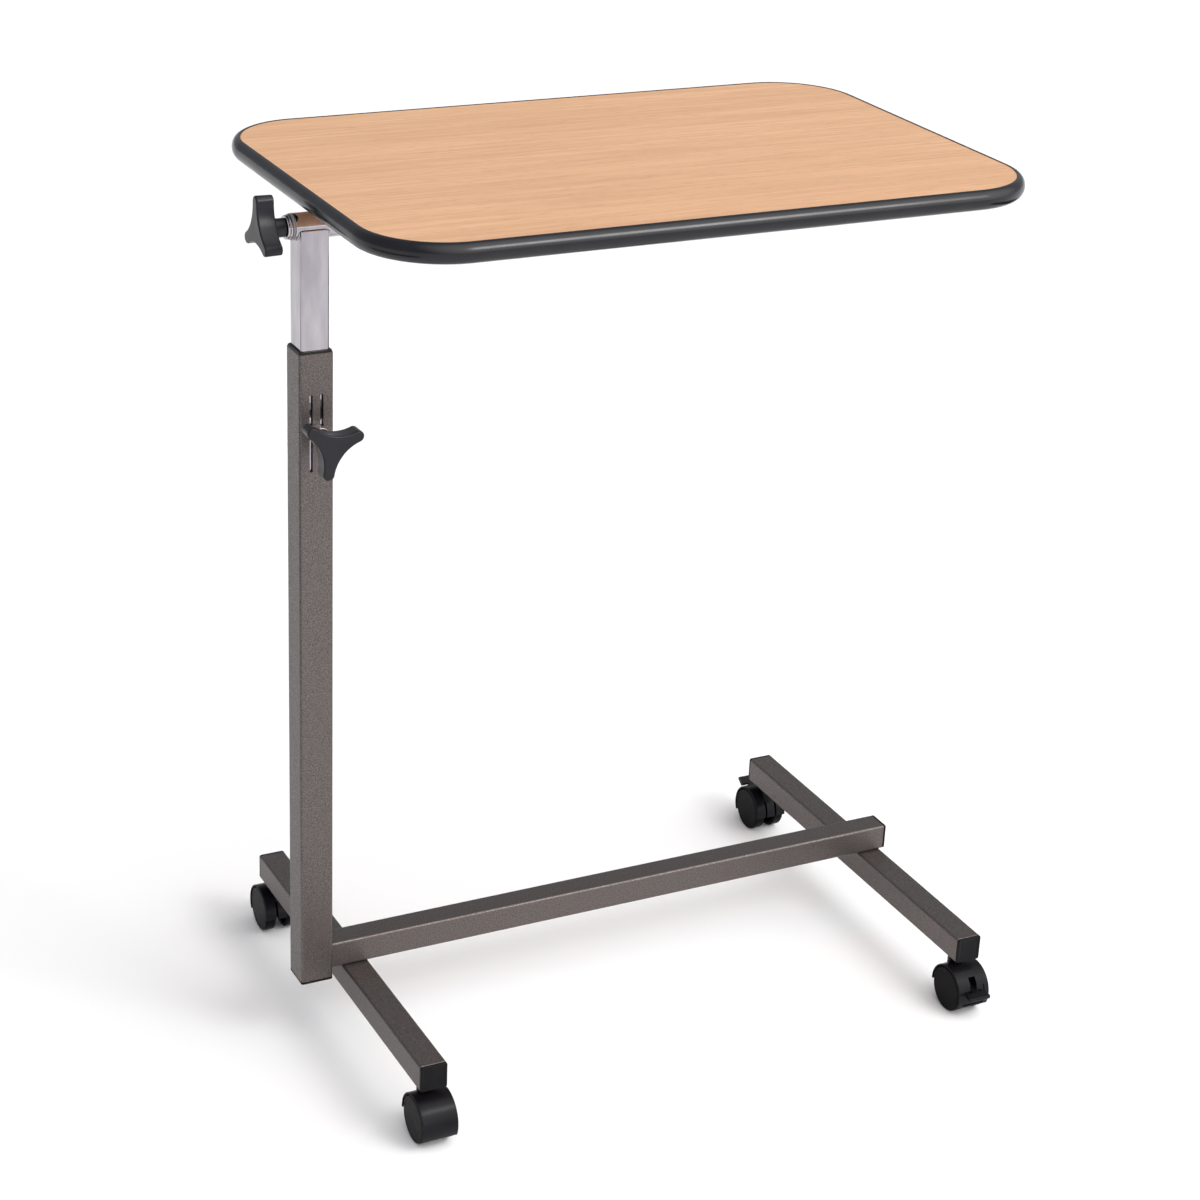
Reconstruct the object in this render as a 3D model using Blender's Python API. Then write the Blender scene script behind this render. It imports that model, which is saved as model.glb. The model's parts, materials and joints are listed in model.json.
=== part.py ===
"""Overbed table: castor base, telescopic column with a screw clamp, and a tilting top.

Metres, +Z up. X runs along the table's length from the column, -Y is the side of the
height knob, and Z is measured from the floor. The last step centres the whole object
on the origin, standing on z = 0.
"""

import math

import bmesh
import bpy

mm = 0.001

# Fits
GAP = 0.3 * mm
SLIDING_FIT = 0.15 * mm
CUT_BEYOND = 3 * mm
THREAD_RADIUS = 3.85 * mm
THREAD_BORE = 4.15 * mm

# Table top
TOP_LENGTH = 600 * mm
TOP_DEPTH = 400 * mm
TOP_HEIGHT = 802.5 * mm
TOP_CORNER_RADIUS = 72 * mm
TOP_OVERHANG = 15.8 * mm
BOARD_THICKNESS = 16 * mm
EDGE_BULGE = 7 * mm
EDGE_LIP = 0.5 * mm
EDGE_TONGUE = 7 * mm
EDGE_TONGUE_HALF = 0.9 * mm

# Frame tubes
COLUMN_SIDE = 30 * mm
MAST_SIDE = 25 * mm
BASE_TUBE_SIDE = 25 * mm
TUBE_WALL = 1.5 * mm
TUBE_CORNER = 2.2 * mm
COLUMN_BOTTOM = 67.3 * mm
COLUMN_TOP = 662.7 * mm
MAST_BOTTOM = 180 * mm
CAP_THICKNESS = 2.5 * mm
CAP_DEPTH = 9 * mm
CAP_EDGE = 0.7 * mm
CAP_WALL = 1.5 * mm
PLUG_CORNER = 0.8 * mm

# Base
CASTOR_HEIGHT = 52 * mm
FOOT_LENGTH = 400 * mm
FOOT_MIDDLE_Y = 8 * mm
LEFT_FOOT_X = 38.2 * mm
RIGHT_FOOT_X = 582.8 * mm
BAR_END_X = 600 * mm
STEM_INSET = 19.4 * mm

# Height clamp on the column's front face
HEIGHT_KNOB_Z = 594.1 * mm
SLIT_BOTTOM = 560 * mm
SLIT_TOP = 627.6 * mm
SLIT_WIDTH = 2.8 * mm
SLIT_OFFSET = 4.65 * mm
BOSS_RADIUS = 8 * mm
BOSS_LENGTH = 10.7 * mm
HEIGHT_KNOB_FACE = 54.5 * mm
HEIGHT_KNOB_BACK = 27.5 * mm
PAD_LENGTH = 5.4 * mm
GUIDE_LENGTH = 30 * mm
GUIDE_RIM_TOP = 1.8 * mm
GUIDE_RIM_INSET = 0.5 * mm
GLIDE_THICKNESS = 6 * mm
GLIDE_PLUG_LENGTH = 15 * mm

# Tilting joint at the mast's top
TILT_AXIS_Z = 766.6 * mm
SLEEVE_RADIUS = 11 * mm
SLEEVE_WALL = 1.5 * mm
SLEEVE_LEFT = -15.3 * mm
SLEEVE_RIGHT = 26 * mm
SHAFT_RADIUS = 8 * mm
SHAFT_LEFT = -16.5 * mm
SHAFT_RIGHT = 330 * mm
SHAFT_BORE_DEPTH = 30 * mm
BUSH_FLANGE = 1.5 * mm
BUSH_DEPTH = 10 * mm
STOP_RING_LENGTH = 5 * mm
COLLAR_RADIUS = 10.3 * mm
COLLAR_LEFT = -21.5 * mm
TILT_KNOB_FACE = -46.5 * mm
SADDLE_POSITIONS = (80 * mm, 300 * mm)
SADDLE_LENGTH = 40 * mm
SADDLE_THICKNESS = 2.5 * mm
SADDLE_HALF_SPAN = 30 * mm
SCREW_OFFSET_Y = 21 * mm
SCREW_RADIUS = 1.8 * mm

# Three-lobed knobs
KNOB_DEPTH = 15 * mm
KNOB_LOBE_CENTRE = 23 * mm
KNOB_LOBE_RADIUS = 5 * mm
KNOB_WAIST = 11 * mm
KNOB_HUB_RADIUS = 7.75 * mm
KNOB_EDGE = 1.2 * mm
KNOB_DRAFT = 0.3 * mm
KNOB_POCKET = 9 * mm
STUD_IN_SHAFT = 25 * mm

# Twin-wheel castors, measured from the axle
WHEEL_RADIUS = 21.5 * mm
WHEEL_OUTER_X = 16.2 * mm
WHEEL_INNER_X = 5.8 * mm
HOOD_RADIUS = 24 * mm
HOOD_INNER_RADIUS = 22.2 * mm
HOOD_HALF_WIDTH = 16.6 * mm
WEB_HALF_WIDTH = 4.5 * mm
CASTOR_TRAIL = 12 * mm
AXLE_RADIUS = 2 * mm
AXLE_HALF_LENGTH = 12.9 * mm
STEM_RADIUS = 3 * mm
STEM_FLANGE_RADIUS = 7 * mm
STEM_FLANGE = 1.5 * mm
STEM_THREAD_LENGTH = 14 * mm
NUT_RADIUS = 7 * mm
NUT_HEIGHT = 7 * mm
NECK_RADIUS = 7.5 * mm
NECK_CLEARANCE = 2.2 * mm
LEVER_PIVOT = (-9 * mm, 7 * mm)
LEVER_RAISED = 146
LEVER_PRESSED = 186
LEVER_MARGIN = 25

# Values that follow
FOOT_BOTTOM = CASTOR_HEIGHT
FOOT_TOP = FOOT_BOTTOM + BASE_TUBE_SIDE
BAR_BOTTOM = FOOT_TOP + GAP
BOARD_TOP = TOP_HEIGHT - EDGE_LIP
BOARD_BOTTOM = BOARD_TOP - BOARD_THICKNESS
BOARD_MIDDLE_X = TOP_LENGTH / 2 - TOP_OVERHANG
COLUMN_FRONT = COLUMN_SIDE / 2
MAST_TOP = TILT_AXIS_Z - 1.6 * mm

AXES = {
    "X": lambda u, v, w: (w, u, v),
    "Y": lambda u, v, w: (u, w, v),
    "Z": lambda u, v, w: (u, v, w),
}


def clear_scene():
    for obj in list(bpy.data.objects):
        bpy.data.objects.remove(obj, do_unlink=True)


# Outlines: lists of (u, v) points, counter-clockwise


def arc(centre, radius, start, end, steps):
    """Points on a circle from start to end degrees, both ends included."""
    angles = [math.radians(start + (end - start) * i / steps) for i in range(steps + 1)]
    return [(centre[0] + radius * math.cos(a), centre[1] + radius * math.sin(a)) for a in angles]


def circle(radius, segments):
    return arc((0, 0), radius, 0, 360, segments)[:-1]


def rounded_rectangle(half_u, half_v, radius, steps=2):
    points = []
    for quarter, (side_u, side_v) in enumerate(((1, 1), (-1, 1), (-1, -1), (1, -1))):
        centre = (side_u * (half_u - radius), side_v * (half_v - radius))
        points += arc(centre, radius, 90 * quarter, 90 * quarter + 90, steps)
    return points


def knob_outline(lobe_angle):
    """Three round lobes joined by hollow flanks that are tangent to them."""
    reach = KNOB_LOBE_CENTRE
    lobe = KNOB_LOBE_RADIUS
    waist = KNOB_WAIST
    flank_centre = (reach**2 - (waist - lobe) ** 2) / (reach - 2 * (waist - lobe))
    flank_radius = flank_centre - waist
    lobe_to_flank_u = flank_centre * math.cos(math.radians(60)) - reach
    lobe_to_flank_v = flank_centre * math.sin(math.radians(60))
    turn = math.degrees(math.atan2(lobe_to_flank_v, lobe_to_flank_u))
    points = []
    for number in range(3):
        heading = lobe_angle + 120 * number
        along = math.radians(heading)
        tip = (reach * math.cos(along), reach * math.sin(along))
        points += arc(tip, lobe, heading - turn, heading + turn, 6)
        between = math.radians(heading + 60)
        middle = (flank_centre * math.cos(between), flank_centre * math.sin(between))
        points += arc(middle, flank_radius, heading + turn + 180, heading + 300 - turn, 6)[1:-1]
    return points


def shrunk(outline, amount):
    """The outline with every point moved towards the middle."""
    moved = []
    for u, v in outline:
        scale = 1 - amount / math.hypot(u, v)
        moved.append((u * scale, v * scale))
    return moved


def on_circle(outline, radius):
    """The outline's directions, at one distance from the middle."""
    return [(radius * u / math.hypot(u, v), radius * v / math.hypot(u, v)) for u, v in outline]


# Solids: meshes made from rings of points


def loft(sections, axis="Z", closed=False):
    """Skin a row of (outline, position) sections. A closed row bites its own tail."""
    bm = bmesh.new()
    place = AXES[axis]
    rings = [[bm.verts.new(place(u, v, w)) for u, v in outline] for outline, w in sections]
    pairs = list(zip(rings, rings[1:]))
    if closed:
        pairs.append((rings[-1], rings[0]))
    else:
        bm.faces.new(rings[0])
        bm.faces.new(rings[-1])
    for ring, after in pairs:
        for i in range(len(ring)):
            j = (i + 1) % len(ring)
            bm.faces.new((ring[i], ring[j], after[j], after[i]))
    bmesh.ops.recalc_face_normals(bm, faces=bm.faces)
    mesh = bpy.data.meshes.new("solid")
    bm.to_mesh(mesh)
    bm.free()
    return mesh


def turned(profile, axis="Z", closed=False, segments=16):
    """A turned solid from (radius, position) pairs."""
    return loft([(circle(radius, segments), w) for radius, w in profile], axis, closed)


def prism(outline, start, end, axis="Z"):
    return loft([(outline, start), (outline, end)], axis)


def block(low, high):
    half_x = (high[0] - low[0]) / 2
    half_y = (high[1] - low[1]) / 2
    corners = ((half_x, half_y), (-half_x, half_y), (-half_x, -half_y), (half_x, -half_y))
    mesh = prism(corners, low[2], high[2])
    return moved(mesh, (low[0] + half_x, low[1] + half_y, 0))


def moved(mesh, offset):
    bm = bmesh.new()
    bm.from_mesh(mesh)
    bmesh.ops.translate(bm, verts=bm.verts, vec=offset)
    bm.to_mesh(mesh)
    bm.free()
    return mesh


def combined(mesh, *steps):
    """The mesh after Boolean steps, each an operation name and another mesh."""
    body = bpy.data.objects.new("body", mesh)
    bpy.context.collection.objects.link(body)
    tools = []
    for number, (operation, other) in enumerate(steps):
        tool = bpy.data.objects.new("tool", other)
        bpy.context.collection.objects.link(tool)
        tools.append(tool)
        modifier = body.modifiers.new(f"step {number}", "BOOLEAN")
        modifier.operation = operation
        modifier.solver = "EXACT"
        modifier.object = tool
    bpy.context.view_layer.update()
    graph = bpy.context.evaluated_depsgraph_get()
    result = bpy.data.meshes.new_from_object(body.evaluated_get(graph))
    for obj in [body, *tools]:
        bpy.data.objects.remove(obj, do_unlink=True)
    return result


def cut(mesh, *cutters):
    return combined(mesh, *[("DIFFERENCE", cutter) for cutter in cutters])


def square_tube(side, start, end, axis):
    outer = rounded_rectangle(side / 2, side / 2, TUBE_CORNER)
    inner_half = side / 2 - TUBE_WALL
    inner = rounded_rectangle(inner_half, inner_half, TUBE_CORNER - TUBE_WALL)
    return loft([(outer, start), (outer, end), (inner, end), (inner, start)], axis, closed=True)


def tube_cap(side, axis, direction):
    """A push-in cap: a flange on the tube's end and a hollow plug inside it."""
    flange = rounded_rectangle(side / 2, side / 2, TUBE_CORNER)
    face = rounded_rectangle(side / 2 - CAP_EDGE, side / 2 - CAP_EDGE, TUBE_CORNER)
    plug_half = side / 2 - TUBE_WALL - GAP
    plug = rounded_rectangle(plug_half, plug_half, PLUG_CORNER)
    pocket = rounded_rectangle(plug_half - CAP_WALL, plug_half - CAP_WALL, PLUG_CORNER)
    sections = [
        (face, CAP_THICKNESS),
        (flange, CAP_THICKNESS - CAP_EDGE),
        (flange, GAP),
        (plug, GAP),
        (plug, -CAP_DEPTH),
        (pocket, -CAP_DEPTH),
        (pocket, GAP),
    ]
    return loft([(outline, direction * w) for outline, w in sections], axis)


# Objects and materials


def material(name, colour, roughness, metallic=0.0):
    made = bpy.data.materials.new(name)
    made.use_nodes = True
    shader = made.node_tree.nodes["Principled BSDF"]
    shader.inputs["Base Color"].default_value = (*colour, 1)
    shader.inputs["Roughness"].default_value = roughness
    shader.inputs["Metallic"].default_value = metallic
    made.diffuse_color = (*colour, 1)
    return made


def empty(name, location, parent=None):
    """A frame for the pieces that turn or slide together."""
    frame = bpy.data.objects.new(name, None)
    bpy.context.collection.objects.link(frame)
    frame.parent = parent
    frame.location = location
    return frame


def piece(name, mesh, finish, parent, location=(0, 0, 0), rotation=(0, 0, 0)):
    obj = bpy.data.objects.new(name, mesh)
    bpy.context.collection.objects.link(obj)
    obj.parent = parent
    obj.location = location
    obj.rotation_euler = rotation
    mesh.name = name
    mesh.materials.clear()
    mesh.materials.append(finish)
    mesh.shade_smooth()
    mesh.set_sharp_from_angle(angle=math.radians(30))
    return obj


# Base frame


def build_feet(root, finish):
    half = FOOT_LENGTH / 2 - CAP_THICKNESS
    for side, x in (("left", LEFT_FOOT_X), ("right", RIGHT_FOOT_X)):
        tube = square_tube(BASE_TUBE_SIDE, -half, half, "Y")
        floor = -BASE_TUBE_SIDE / 2
        holes = []
        for end in (-1, 1):
            hole = turned([(THREAD_BORE, floor - CUT_BEYOND), (THREAD_BORE, floor + CUT_BEYOND)])
            holes.append(moved(hole, (0, end * (FOOT_LENGTH / 2 - STEM_INSET), 0)))
        middle = (x, FOOT_MIDDLE_Y, FOOT_BOTTOM + BASE_TUBE_SIDE / 2)
        piece(f"foot_{side}", cut(tube, *holes), finish["paint"], root, middle)
        for end, label in ((-1, "front"), (1, "rear")):
            cap = tube_cap(BASE_TUBE_SIDE, "Y", end)
            place = (x, FOOT_MIDDLE_Y + end * half, middle[2])
            piece(f"foot_cap_{label}_{side}", cap, finish["plastic"], root, place)


def build_bar(root, finish):
    start = COLUMN_FRONT + GAP
    end = BAR_END_X - CAP_THICKNESS
    height = BAR_BOTTOM + BASE_TUBE_SIDE / 2
    tube = square_tube(BASE_TUBE_SIDE, start, end, "X")
    piece("base_bar", tube, finish["paint"], root, (0, 0, height))
    cap = tube_cap(BASE_TUBE_SIDE, "X", 1)
    piece("bar_end_cap", cap, finish["plastic"], root, (end, 0, height))


def build_column(root, finish):
    bottom = COLUMN_BOTTOM + CAP_THICKNESS
    tube = square_tube(COLUMN_SIDE, bottom, COLUMN_TOP, "Z")
    front = -COLUMN_FRONT
    bore = turned([(THREAD_BORE, -CUT_BEYOND), (THREAD_BORE, CUT_BEYOND)], "Y")
    cutters = [moved(bore, (0, front, HEIGHT_KNOB_Z))]
    slit_half = (SLIT_TOP - SLIT_BOTTOM) / 2
    for side in (-1, 1):
        slit = rounded_rectangle(SLIT_WIDTH / 2, slit_half, 0.96 * SLIT_WIDTH / 2)
        cutter = prism(slit, front - CUT_BEYOND, front + CUT_BEYOND, "Y")
        cutters.append(moved(cutter, (side * SLIT_OFFSET, 0, (SLIT_TOP + SLIT_BOTTOM) / 2)))
    piece("column_tube", cut(tube, *cutters), finish["paint"], root)
    cap = tube_cap(COLUMN_SIDE, "Z", -1)
    piece("column_bottom_cap", cap, finish["plastic"], root, (0, 0, bottom))


def build_guide_bush(root, finish):
    """A thin sleeve in the column's mouth that the mast slides through."""
    inner_half = MAST_SIDE / 2 + SLIDING_FIT
    body_half = COLUMN_SIDE / 2 - TUBE_WALL - SLIDING_FIT
    rim_half = COLUMN_SIDE / 2 - GUIDE_RIM_INSET
    bore = rounded_rectangle(inner_half, inner_half, TUBE_CORNER)
    body = rounded_rectangle(body_half, body_half, PLUG_CORNER)
    rim = rounded_rectangle(rim_half, rim_half, TUBE_CORNER)
    bottom = COLUMN_TOP - GUIDE_LENGTH
    rim_bottom = COLUMN_TOP + GAP
    rim_top = COLUMN_TOP + GUIDE_RIM_TOP
    outside = [(rim, rim_top), (rim, rim_bottom), (body, rim_bottom), (body, bottom)]
    bush = loft([(bore, bottom), (bore, rim_top), *outside], "Z", closed=True)
    piece("column_guide_bush", bush, finish["nylon"], root)


# Height clamp


def lobed_knob(lobe_angle, hub_length, pocket_depth, axis, direction):
    """A knob whose face is at 0, with its hub and stud pocket behind it."""
    outline = knob_outline(lobe_angle)
    hub_end = KNOB_DEPTH + hub_length
    sections = [
        (shrunk(outline, KNOB_EDGE), 0),
        (shrunk(outline, 0.35 * KNOB_EDGE), 0.35 * KNOB_EDGE),
        (outline, KNOB_EDGE),
        (shrunk(outline, KNOB_DRAFT), KNOB_DEPTH - KNOB_EDGE),
        (shrunk(outline, KNOB_DRAFT + KNOB_EDGE), KNOB_DEPTH),
        (on_circle(outline, KNOB_HUB_RADIUS), KNOB_DEPTH),
        (on_circle(outline, KNOB_HUB_RADIUS), hub_end),
        (on_circle(outline, THREAD_BORE), hub_end),
        (on_circle(outline, THREAD_BORE), hub_end - pocket_depth),
    ]
    return loft([(ring, direction * w) for ring, w in sections], axis)


def build_height_clamp(root, finish):
    boss = turned(
        [(BOSS_RADIUS, 0), (BOSS_RADIUS, BOSS_LENGTH), (THREAD_BORE, BOSS_LENGTH), (THREAD_BORE, 0)],
        "Y",
        closed=True,
    )
    boss_end = -COLUMN_FRONT - GAP - BOSS_LENGTH
    piece("clamp_boss", boss, finish["zinc"], root, (0, boss_end, HEIGHT_KNOB_Z))

    axis_frame = empty("height_knob_axis", (0, 0, HEIGHT_KNOB_Z), root)
    pad_inner = -MAST_SIDE / 2 - SLIDING_FIT
    pad_outer = pad_inner - PAD_LENGTH
    pad = turned([(THREAD_RADIUS, pad_outer), (THREAD_RADIUS, pad_inner)], "Y")
    piece("clamp_pad", pad, finish["nylon"], axis_frame)

    hub_length = HEIGHT_KNOB_FACE - KNOB_DEPTH - HEIGHT_KNOB_BACK
    pocket = hub_length + KNOB_POCKET
    knob = lobed_knob(20, hub_length, pocket, "Y", 1)
    piece("height_knob", knob, finish["plastic"], axis_frame, (0, -HEIGHT_KNOB_FACE, 0))
    stud_end = -HEIGHT_KNOB_FACE + KNOB_DEPTH + hub_length - pocket + GAP
    stud = turned([(THREAD_RADIUS, stud_end), (THREAD_RADIUS, pad_outer - GAP)], "Y")
    piece("height_knob_stud", stud, finish["zinc"], axis_frame)


# Mast and tilting joint


def build_mast(root, finish):
    frame = empty("mast_slide", (0, 0, 0), root)
    tube = square_tube(MAST_SIDE, MAST_BOTTOM, MAST_TOP, "Z")
    seat_radius = SLEEVE_RADIUS + GAP
    seat_reach = MAST_SIDE / 2 + CUT_BEYOND
    seat = turned([(seat_radius, -seat_reach), (seat_radius, seat_reach)], "X", segments=24)
    piece("mast_tube", cut(tube, moved(seat, (0, 0, TILT_AXIS_Z))), finish["chrome"], frame)

    flange_half = COLUMN_SIDE / 2 - TUBE_WALL - GAP
    flange = rounded_rectangle(flange_half, flange_half, PLUG_CORNER)
    plug_half = MAST_SIDE / 2 - TUBE_WALL - GAP
    plug = rounded_rectangle(plug_half, plug_half, PLUG_CORNER)
    glide = loft(
        [
            (flange, MAST_BOTTOM - GLIDE_THICKNESS),
            (flange, MAST_BOTTOM - GAP),
            (plug, MAST_BOTTOM - GAP),
            (plug, MAST_BOTTOM + GLIDE_PLUG_LENGTH),
        ]
    )
    piece("mast_glide_plug", glide, finish["nylon"], frame)

    bore = SLEEVE_RADIUS - SLEEVE_WALL
    sleeve = turned(
        [
            (SLEEVE_RADIUS - 0.3 * mm, SLEEVE_LEFT),
            (SLEEVE_RADIUS, SLEEVE_LEFT + 0.3 * mm),
            (SLEEVE_RADIUS, SLEEVE_RIGHT - 0.3 * mm),
            (SLEEVE_RADIUS - 0.3 * mm, SLEEVE_RIGHT),
            (bore, SLEEVE_RIGHT),
            (bore, SLEEVE_LEFT),
        ],
        "X",
        closed=True,
        segments=24,
    )
    piece("tilt_sleeve", sleeve, finish["chrome"], frame, (0, 0, TILT_AXIS_Z))
    for label, edge, way in (("left", SLEEVE_LEFT, -1), ("right", SLEEVE_RIGHT, 1)):
        bush = turned(
            [
                (SHAFT_RADIUS + SLIDING_FIT, way * (BUSH_FLANGE + GAP)),
                (SLEEVE_RADIUS - SLIDING_FIT, way * (BUSH_FLANGE + GAP)),
                (SLEEVE_RADIUS - SLIDING_FIT, way * GAP),
                (bore - SLIDING_FIT, way * GAP),
                (bore - SLIDING_FIT, -way * BUSH_DEPTH),
                (SHAFT_RADIUS + SLIDING_FIT, -way * BUSH_DEPTH),
            ],
            "X",
            closed=True,
            segments=24,
        )
        piece(f"tilt_bush_{label}", bush, finish["nylon"], frame, (edge, 0, TILT_AXIS_Z))
    return frame


def build_tilt_shaft(tilt, finish):
    shaft = turned(
        [
            (THREAD_BORE, SHAFT_LEFT + SHAFT_BORE_DEPTH),
            (THREAD_BORE, SHAFT_LEFT),
            (SHAFT_RADIUS, SHAFT_LEFT),
            (SHAFT_RADIUS, SHAFT_RIGHT),
        ],
        "X",
        segments=24,
    )
    piece("tilt_shaft", shaft, finish["zinc"], tilt)
    ring_left = SLEEVE_RIGHT + BUSH_FLANGE + 2 * GAP
    ring = turned(
        [
            (SHAFT_RADIUS + GAP, ring_left),
            (SLEEVE_RADIUS, ring_left),
            (SLEEVE_RADIUS, ring_left + STOP_RING_LENGTH),
            (SHAFT_RADIUS + GAP, ring_left + STOP_RING_LENGTH),
        ],
        "X",
        closed=True,
        segments=24,
    )
    piece("shaft_stop_ring", ring, finish["zinc"], tilt)


def saddle_outline():
    """A strap bent round the shaft's underside, with a flange on each side."""
    flange_top = BOARD_BOTTOM - TILT_AXIS_Z - GAP
    flange_bottom = flange_top - SADDLE_THICKNESS
    inner = SHAFT_RADIUS + GAP
    outer = inner + SADDLE_THICKNESS
    points = [(SADDLE_HALF_SPAN, flange_bottom), (SADDLE_HALF_SPAN, flange_top), (inner, flange_top)]
    points += arc((0, 0), inner, 0, -180, 12)
    points += [(-inner, flange_top), (-SADDLE_HALF_SPAN, flange_top), (-SADDLE_HALF_SPAN, flange_bottom)]
    points += [(-outer, flange_bottom)]
    points += arc((0, 0), outer, -180, 0, 12)
    points += [(outer, flange_bottom)]
    return points


def screw_hole(x, y, low, high, radius):
    return moved(turned([(radius, low), (radius, high)], segments=16), (x, y, 0))


def build_saddles(tilt, finish):
    half = SADDLE_LENGTH / 2
    flange_bottom = BOARD_BOTTOM - TILT_AXIS_Z - GAP - SADDLE_THICKNESS
    for label, x in zip(("left", "right"), SADDLE_POSITIONS):
        strap = prism(saddle_outline(), -half, half, "X")
        holes = [
            screw_hole(0, side * SCREW_OFFSET_Y, flange_bottom - mm, flange_bottom + 4 * mm, SCREW_RADIUS + GAP)
            for side in (-1, 1)
        ]
        piece(f"shaft_saddle_{label}", cut(strap, *holes), finish["zinc"], tilt, (x, 0, 0))
        for side, row in ((-1, "front"), (1, "rear")):
            screw = turned(
                [
                    (2.4 * mm, flange_bottom - 2.6 * mm),
                    (3.9 * mm, flange_bottom - 1.4 * mm),
                    (3.9 * mm, flange_bottom - GAP),
                    (SCREW_RADIUS, flange_bottom - GAP),
                    (SCREW_RADIUS, flange_bottom + 12 * mm),
                    (0.4 * mm, flange_bottom + 14 * mm),
                ],
                segments=16,
            )
            piece(f"saddle_screw_{row}_{label}", screw, finish["zinc"], tilt, (x, side * SCREW_OFFSET_Y, 0))


# Table top


def top_outline(inset):
    """The top's plan outline, drawn in by the inset on every side."""
    radius = TOP_CORNER_RADIUS - inset
    return rounded_rectangle(TOP_LENGTH / 2 - inset, TOP_DEPTH / 2 - inset, radius, steps=7)


def build_top(tilt, finish):
    middle = BOARD_BOTTOM - TILT_AXIS_Z + BOARD_THICKNESS / 2
    half = BOARD_THICKNESS / 2
    board_edge = EDGE_BULGE + GAP
    groove_floor = EDGE_BULGE + EDGE_TONGUE + 2 * GAP
    groove_half = EDGE_TONGUE_HALF + GAP
    board = loft(
        [
            (top_outline(board_edge), -half),
            (top_outline(board_edge), -groove_half),
            (top_outline(groove_floor), -groove_half),
            (top_outline(groove_floor), groove_half),
            (top_outline(board_edge), groove_half),
            (top_outline(board_edge), half),
        ]
    )
    hole_top = 12.5 * mm - half
    holes = [
        screw_hole(x - BOARD_MIDDLE_X, side * SCREW_OFFSET_Y, -half - mm, hole_top, SCREW_RADIUS + GAP)
        for x in SADDLE_POSITIONS
        for side in (-1, 1)
    ]
    piece("top_panel", cut(board, *holes), finish["wood"], tilt, (BOARD_MIDDLE_X, 0, middle))

    lip_half = half + EDGE_LIP
    edge = []
    for height, depth in ((1, 0.0), (0.85, 0.42), (0.55, 0.8), (0.2, 1.0)):
        edge.append((top_outline(EDGE_BULGE * (1 - depth)), height * lip_half))
    edge += [(outline, -w) for outline, w in reversed(edge)]
    tongue = top_outline(EDGE_BULGE + EDGE_TONGUE)
    back = top_outline(EDGE_BULGE)
    edge += [(back, -EDGE_TONGUE_HALF), (tongue, -EDGE_TONGUE_HALF)]
    edge += [(tongue, EDGE_TONGUE_HALF), (back, EDGE_TONGUE_HALF)]
    moulding = loft(edge, closed=True)
    piece("edge_moulding", moulding, finish["edge"], tilt, (BOARD_MIDDLE_X, 0, middle))


def build_tilt_clamp(tilt, finish):
    collar_right = SLEEVE_LEFT - BUSH_FLANGE - 2 * GAP
    collar = turned(
        [
            (THREAD_BORE, COLLAR_LEFT),
            (COLLAR_RADIUS - mm, COLLAR_LEFT),
            (COLLAR_RADIUS, COLLAR_LEFT + mm),
            (COLLAR_RADIUS, collar_right - 0.5 * mm),
            (COLLAR_RADIUS - 0.5 * mm, collar_right),
            (THREAD_BORE, collar_right),
        ],
        "X",
        closed=True,
        segments=24,
    )
    piece("tilt_collar", collar, finish["chrome"], tilt)
    hub_length = COLLAR_LEFT - GAP - (TILT_KNOB_FACE + KNOB_DEPTH)
    pocket = hub_length + KNOB_POCKET
    knob = lobed_knob(90, hub_length, pocket, "X", 1)
    piece("tilt_knob", knob, finish["plastic"], tilt, (TILT_KNOB_FACE, 0, 0))
    stud_left = TILT_KNOB_FACE + KNOB_DEPTH + hub_length - pocket + GAP
    stud_right = SHAFT_LEFT + STUD_IN_SHAFT
    stud = turned([(THREAD_RADIUS, stud_left), (THREAD_RADIUS, stud_right)], "X")
    piece("tilt_knob_stud", stud, finish["zinc"], tilt)


# Castors, built with the stem on the +Y side of the axle


def wheel_mesh(side):
    profile = [
        (AXLE_RADIUS + 0.15 * mm, 13.2 * mm),
        (AXLE_RADIUS + 0.15 * mm, WHEEL_INNER_X),
        (5 * mm, WHEEL_INNER_X),
        (5 * mm, 13 * mm),
        (17.5 * mm, 13 * mm),
        (17.5 * mm, WHEEL_INNER_X),
        (WHEEL_RADIUS, WHEEL_INNER_X),
        (WHEEL_RADIUS, WHEEL_OUTER_X - 1.8 * mm),
        (WHEEL_RADIUS - 1.8 * mm, WHEEL_OUTER_X),
    ]
    return turned([(radius, side * w) for radius, w in profile], "X", segments=24)


def lever_heading(degrees):
    return (math.cos(math.radians(degrees)), math.sin(math.radians(degrees)))


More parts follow.
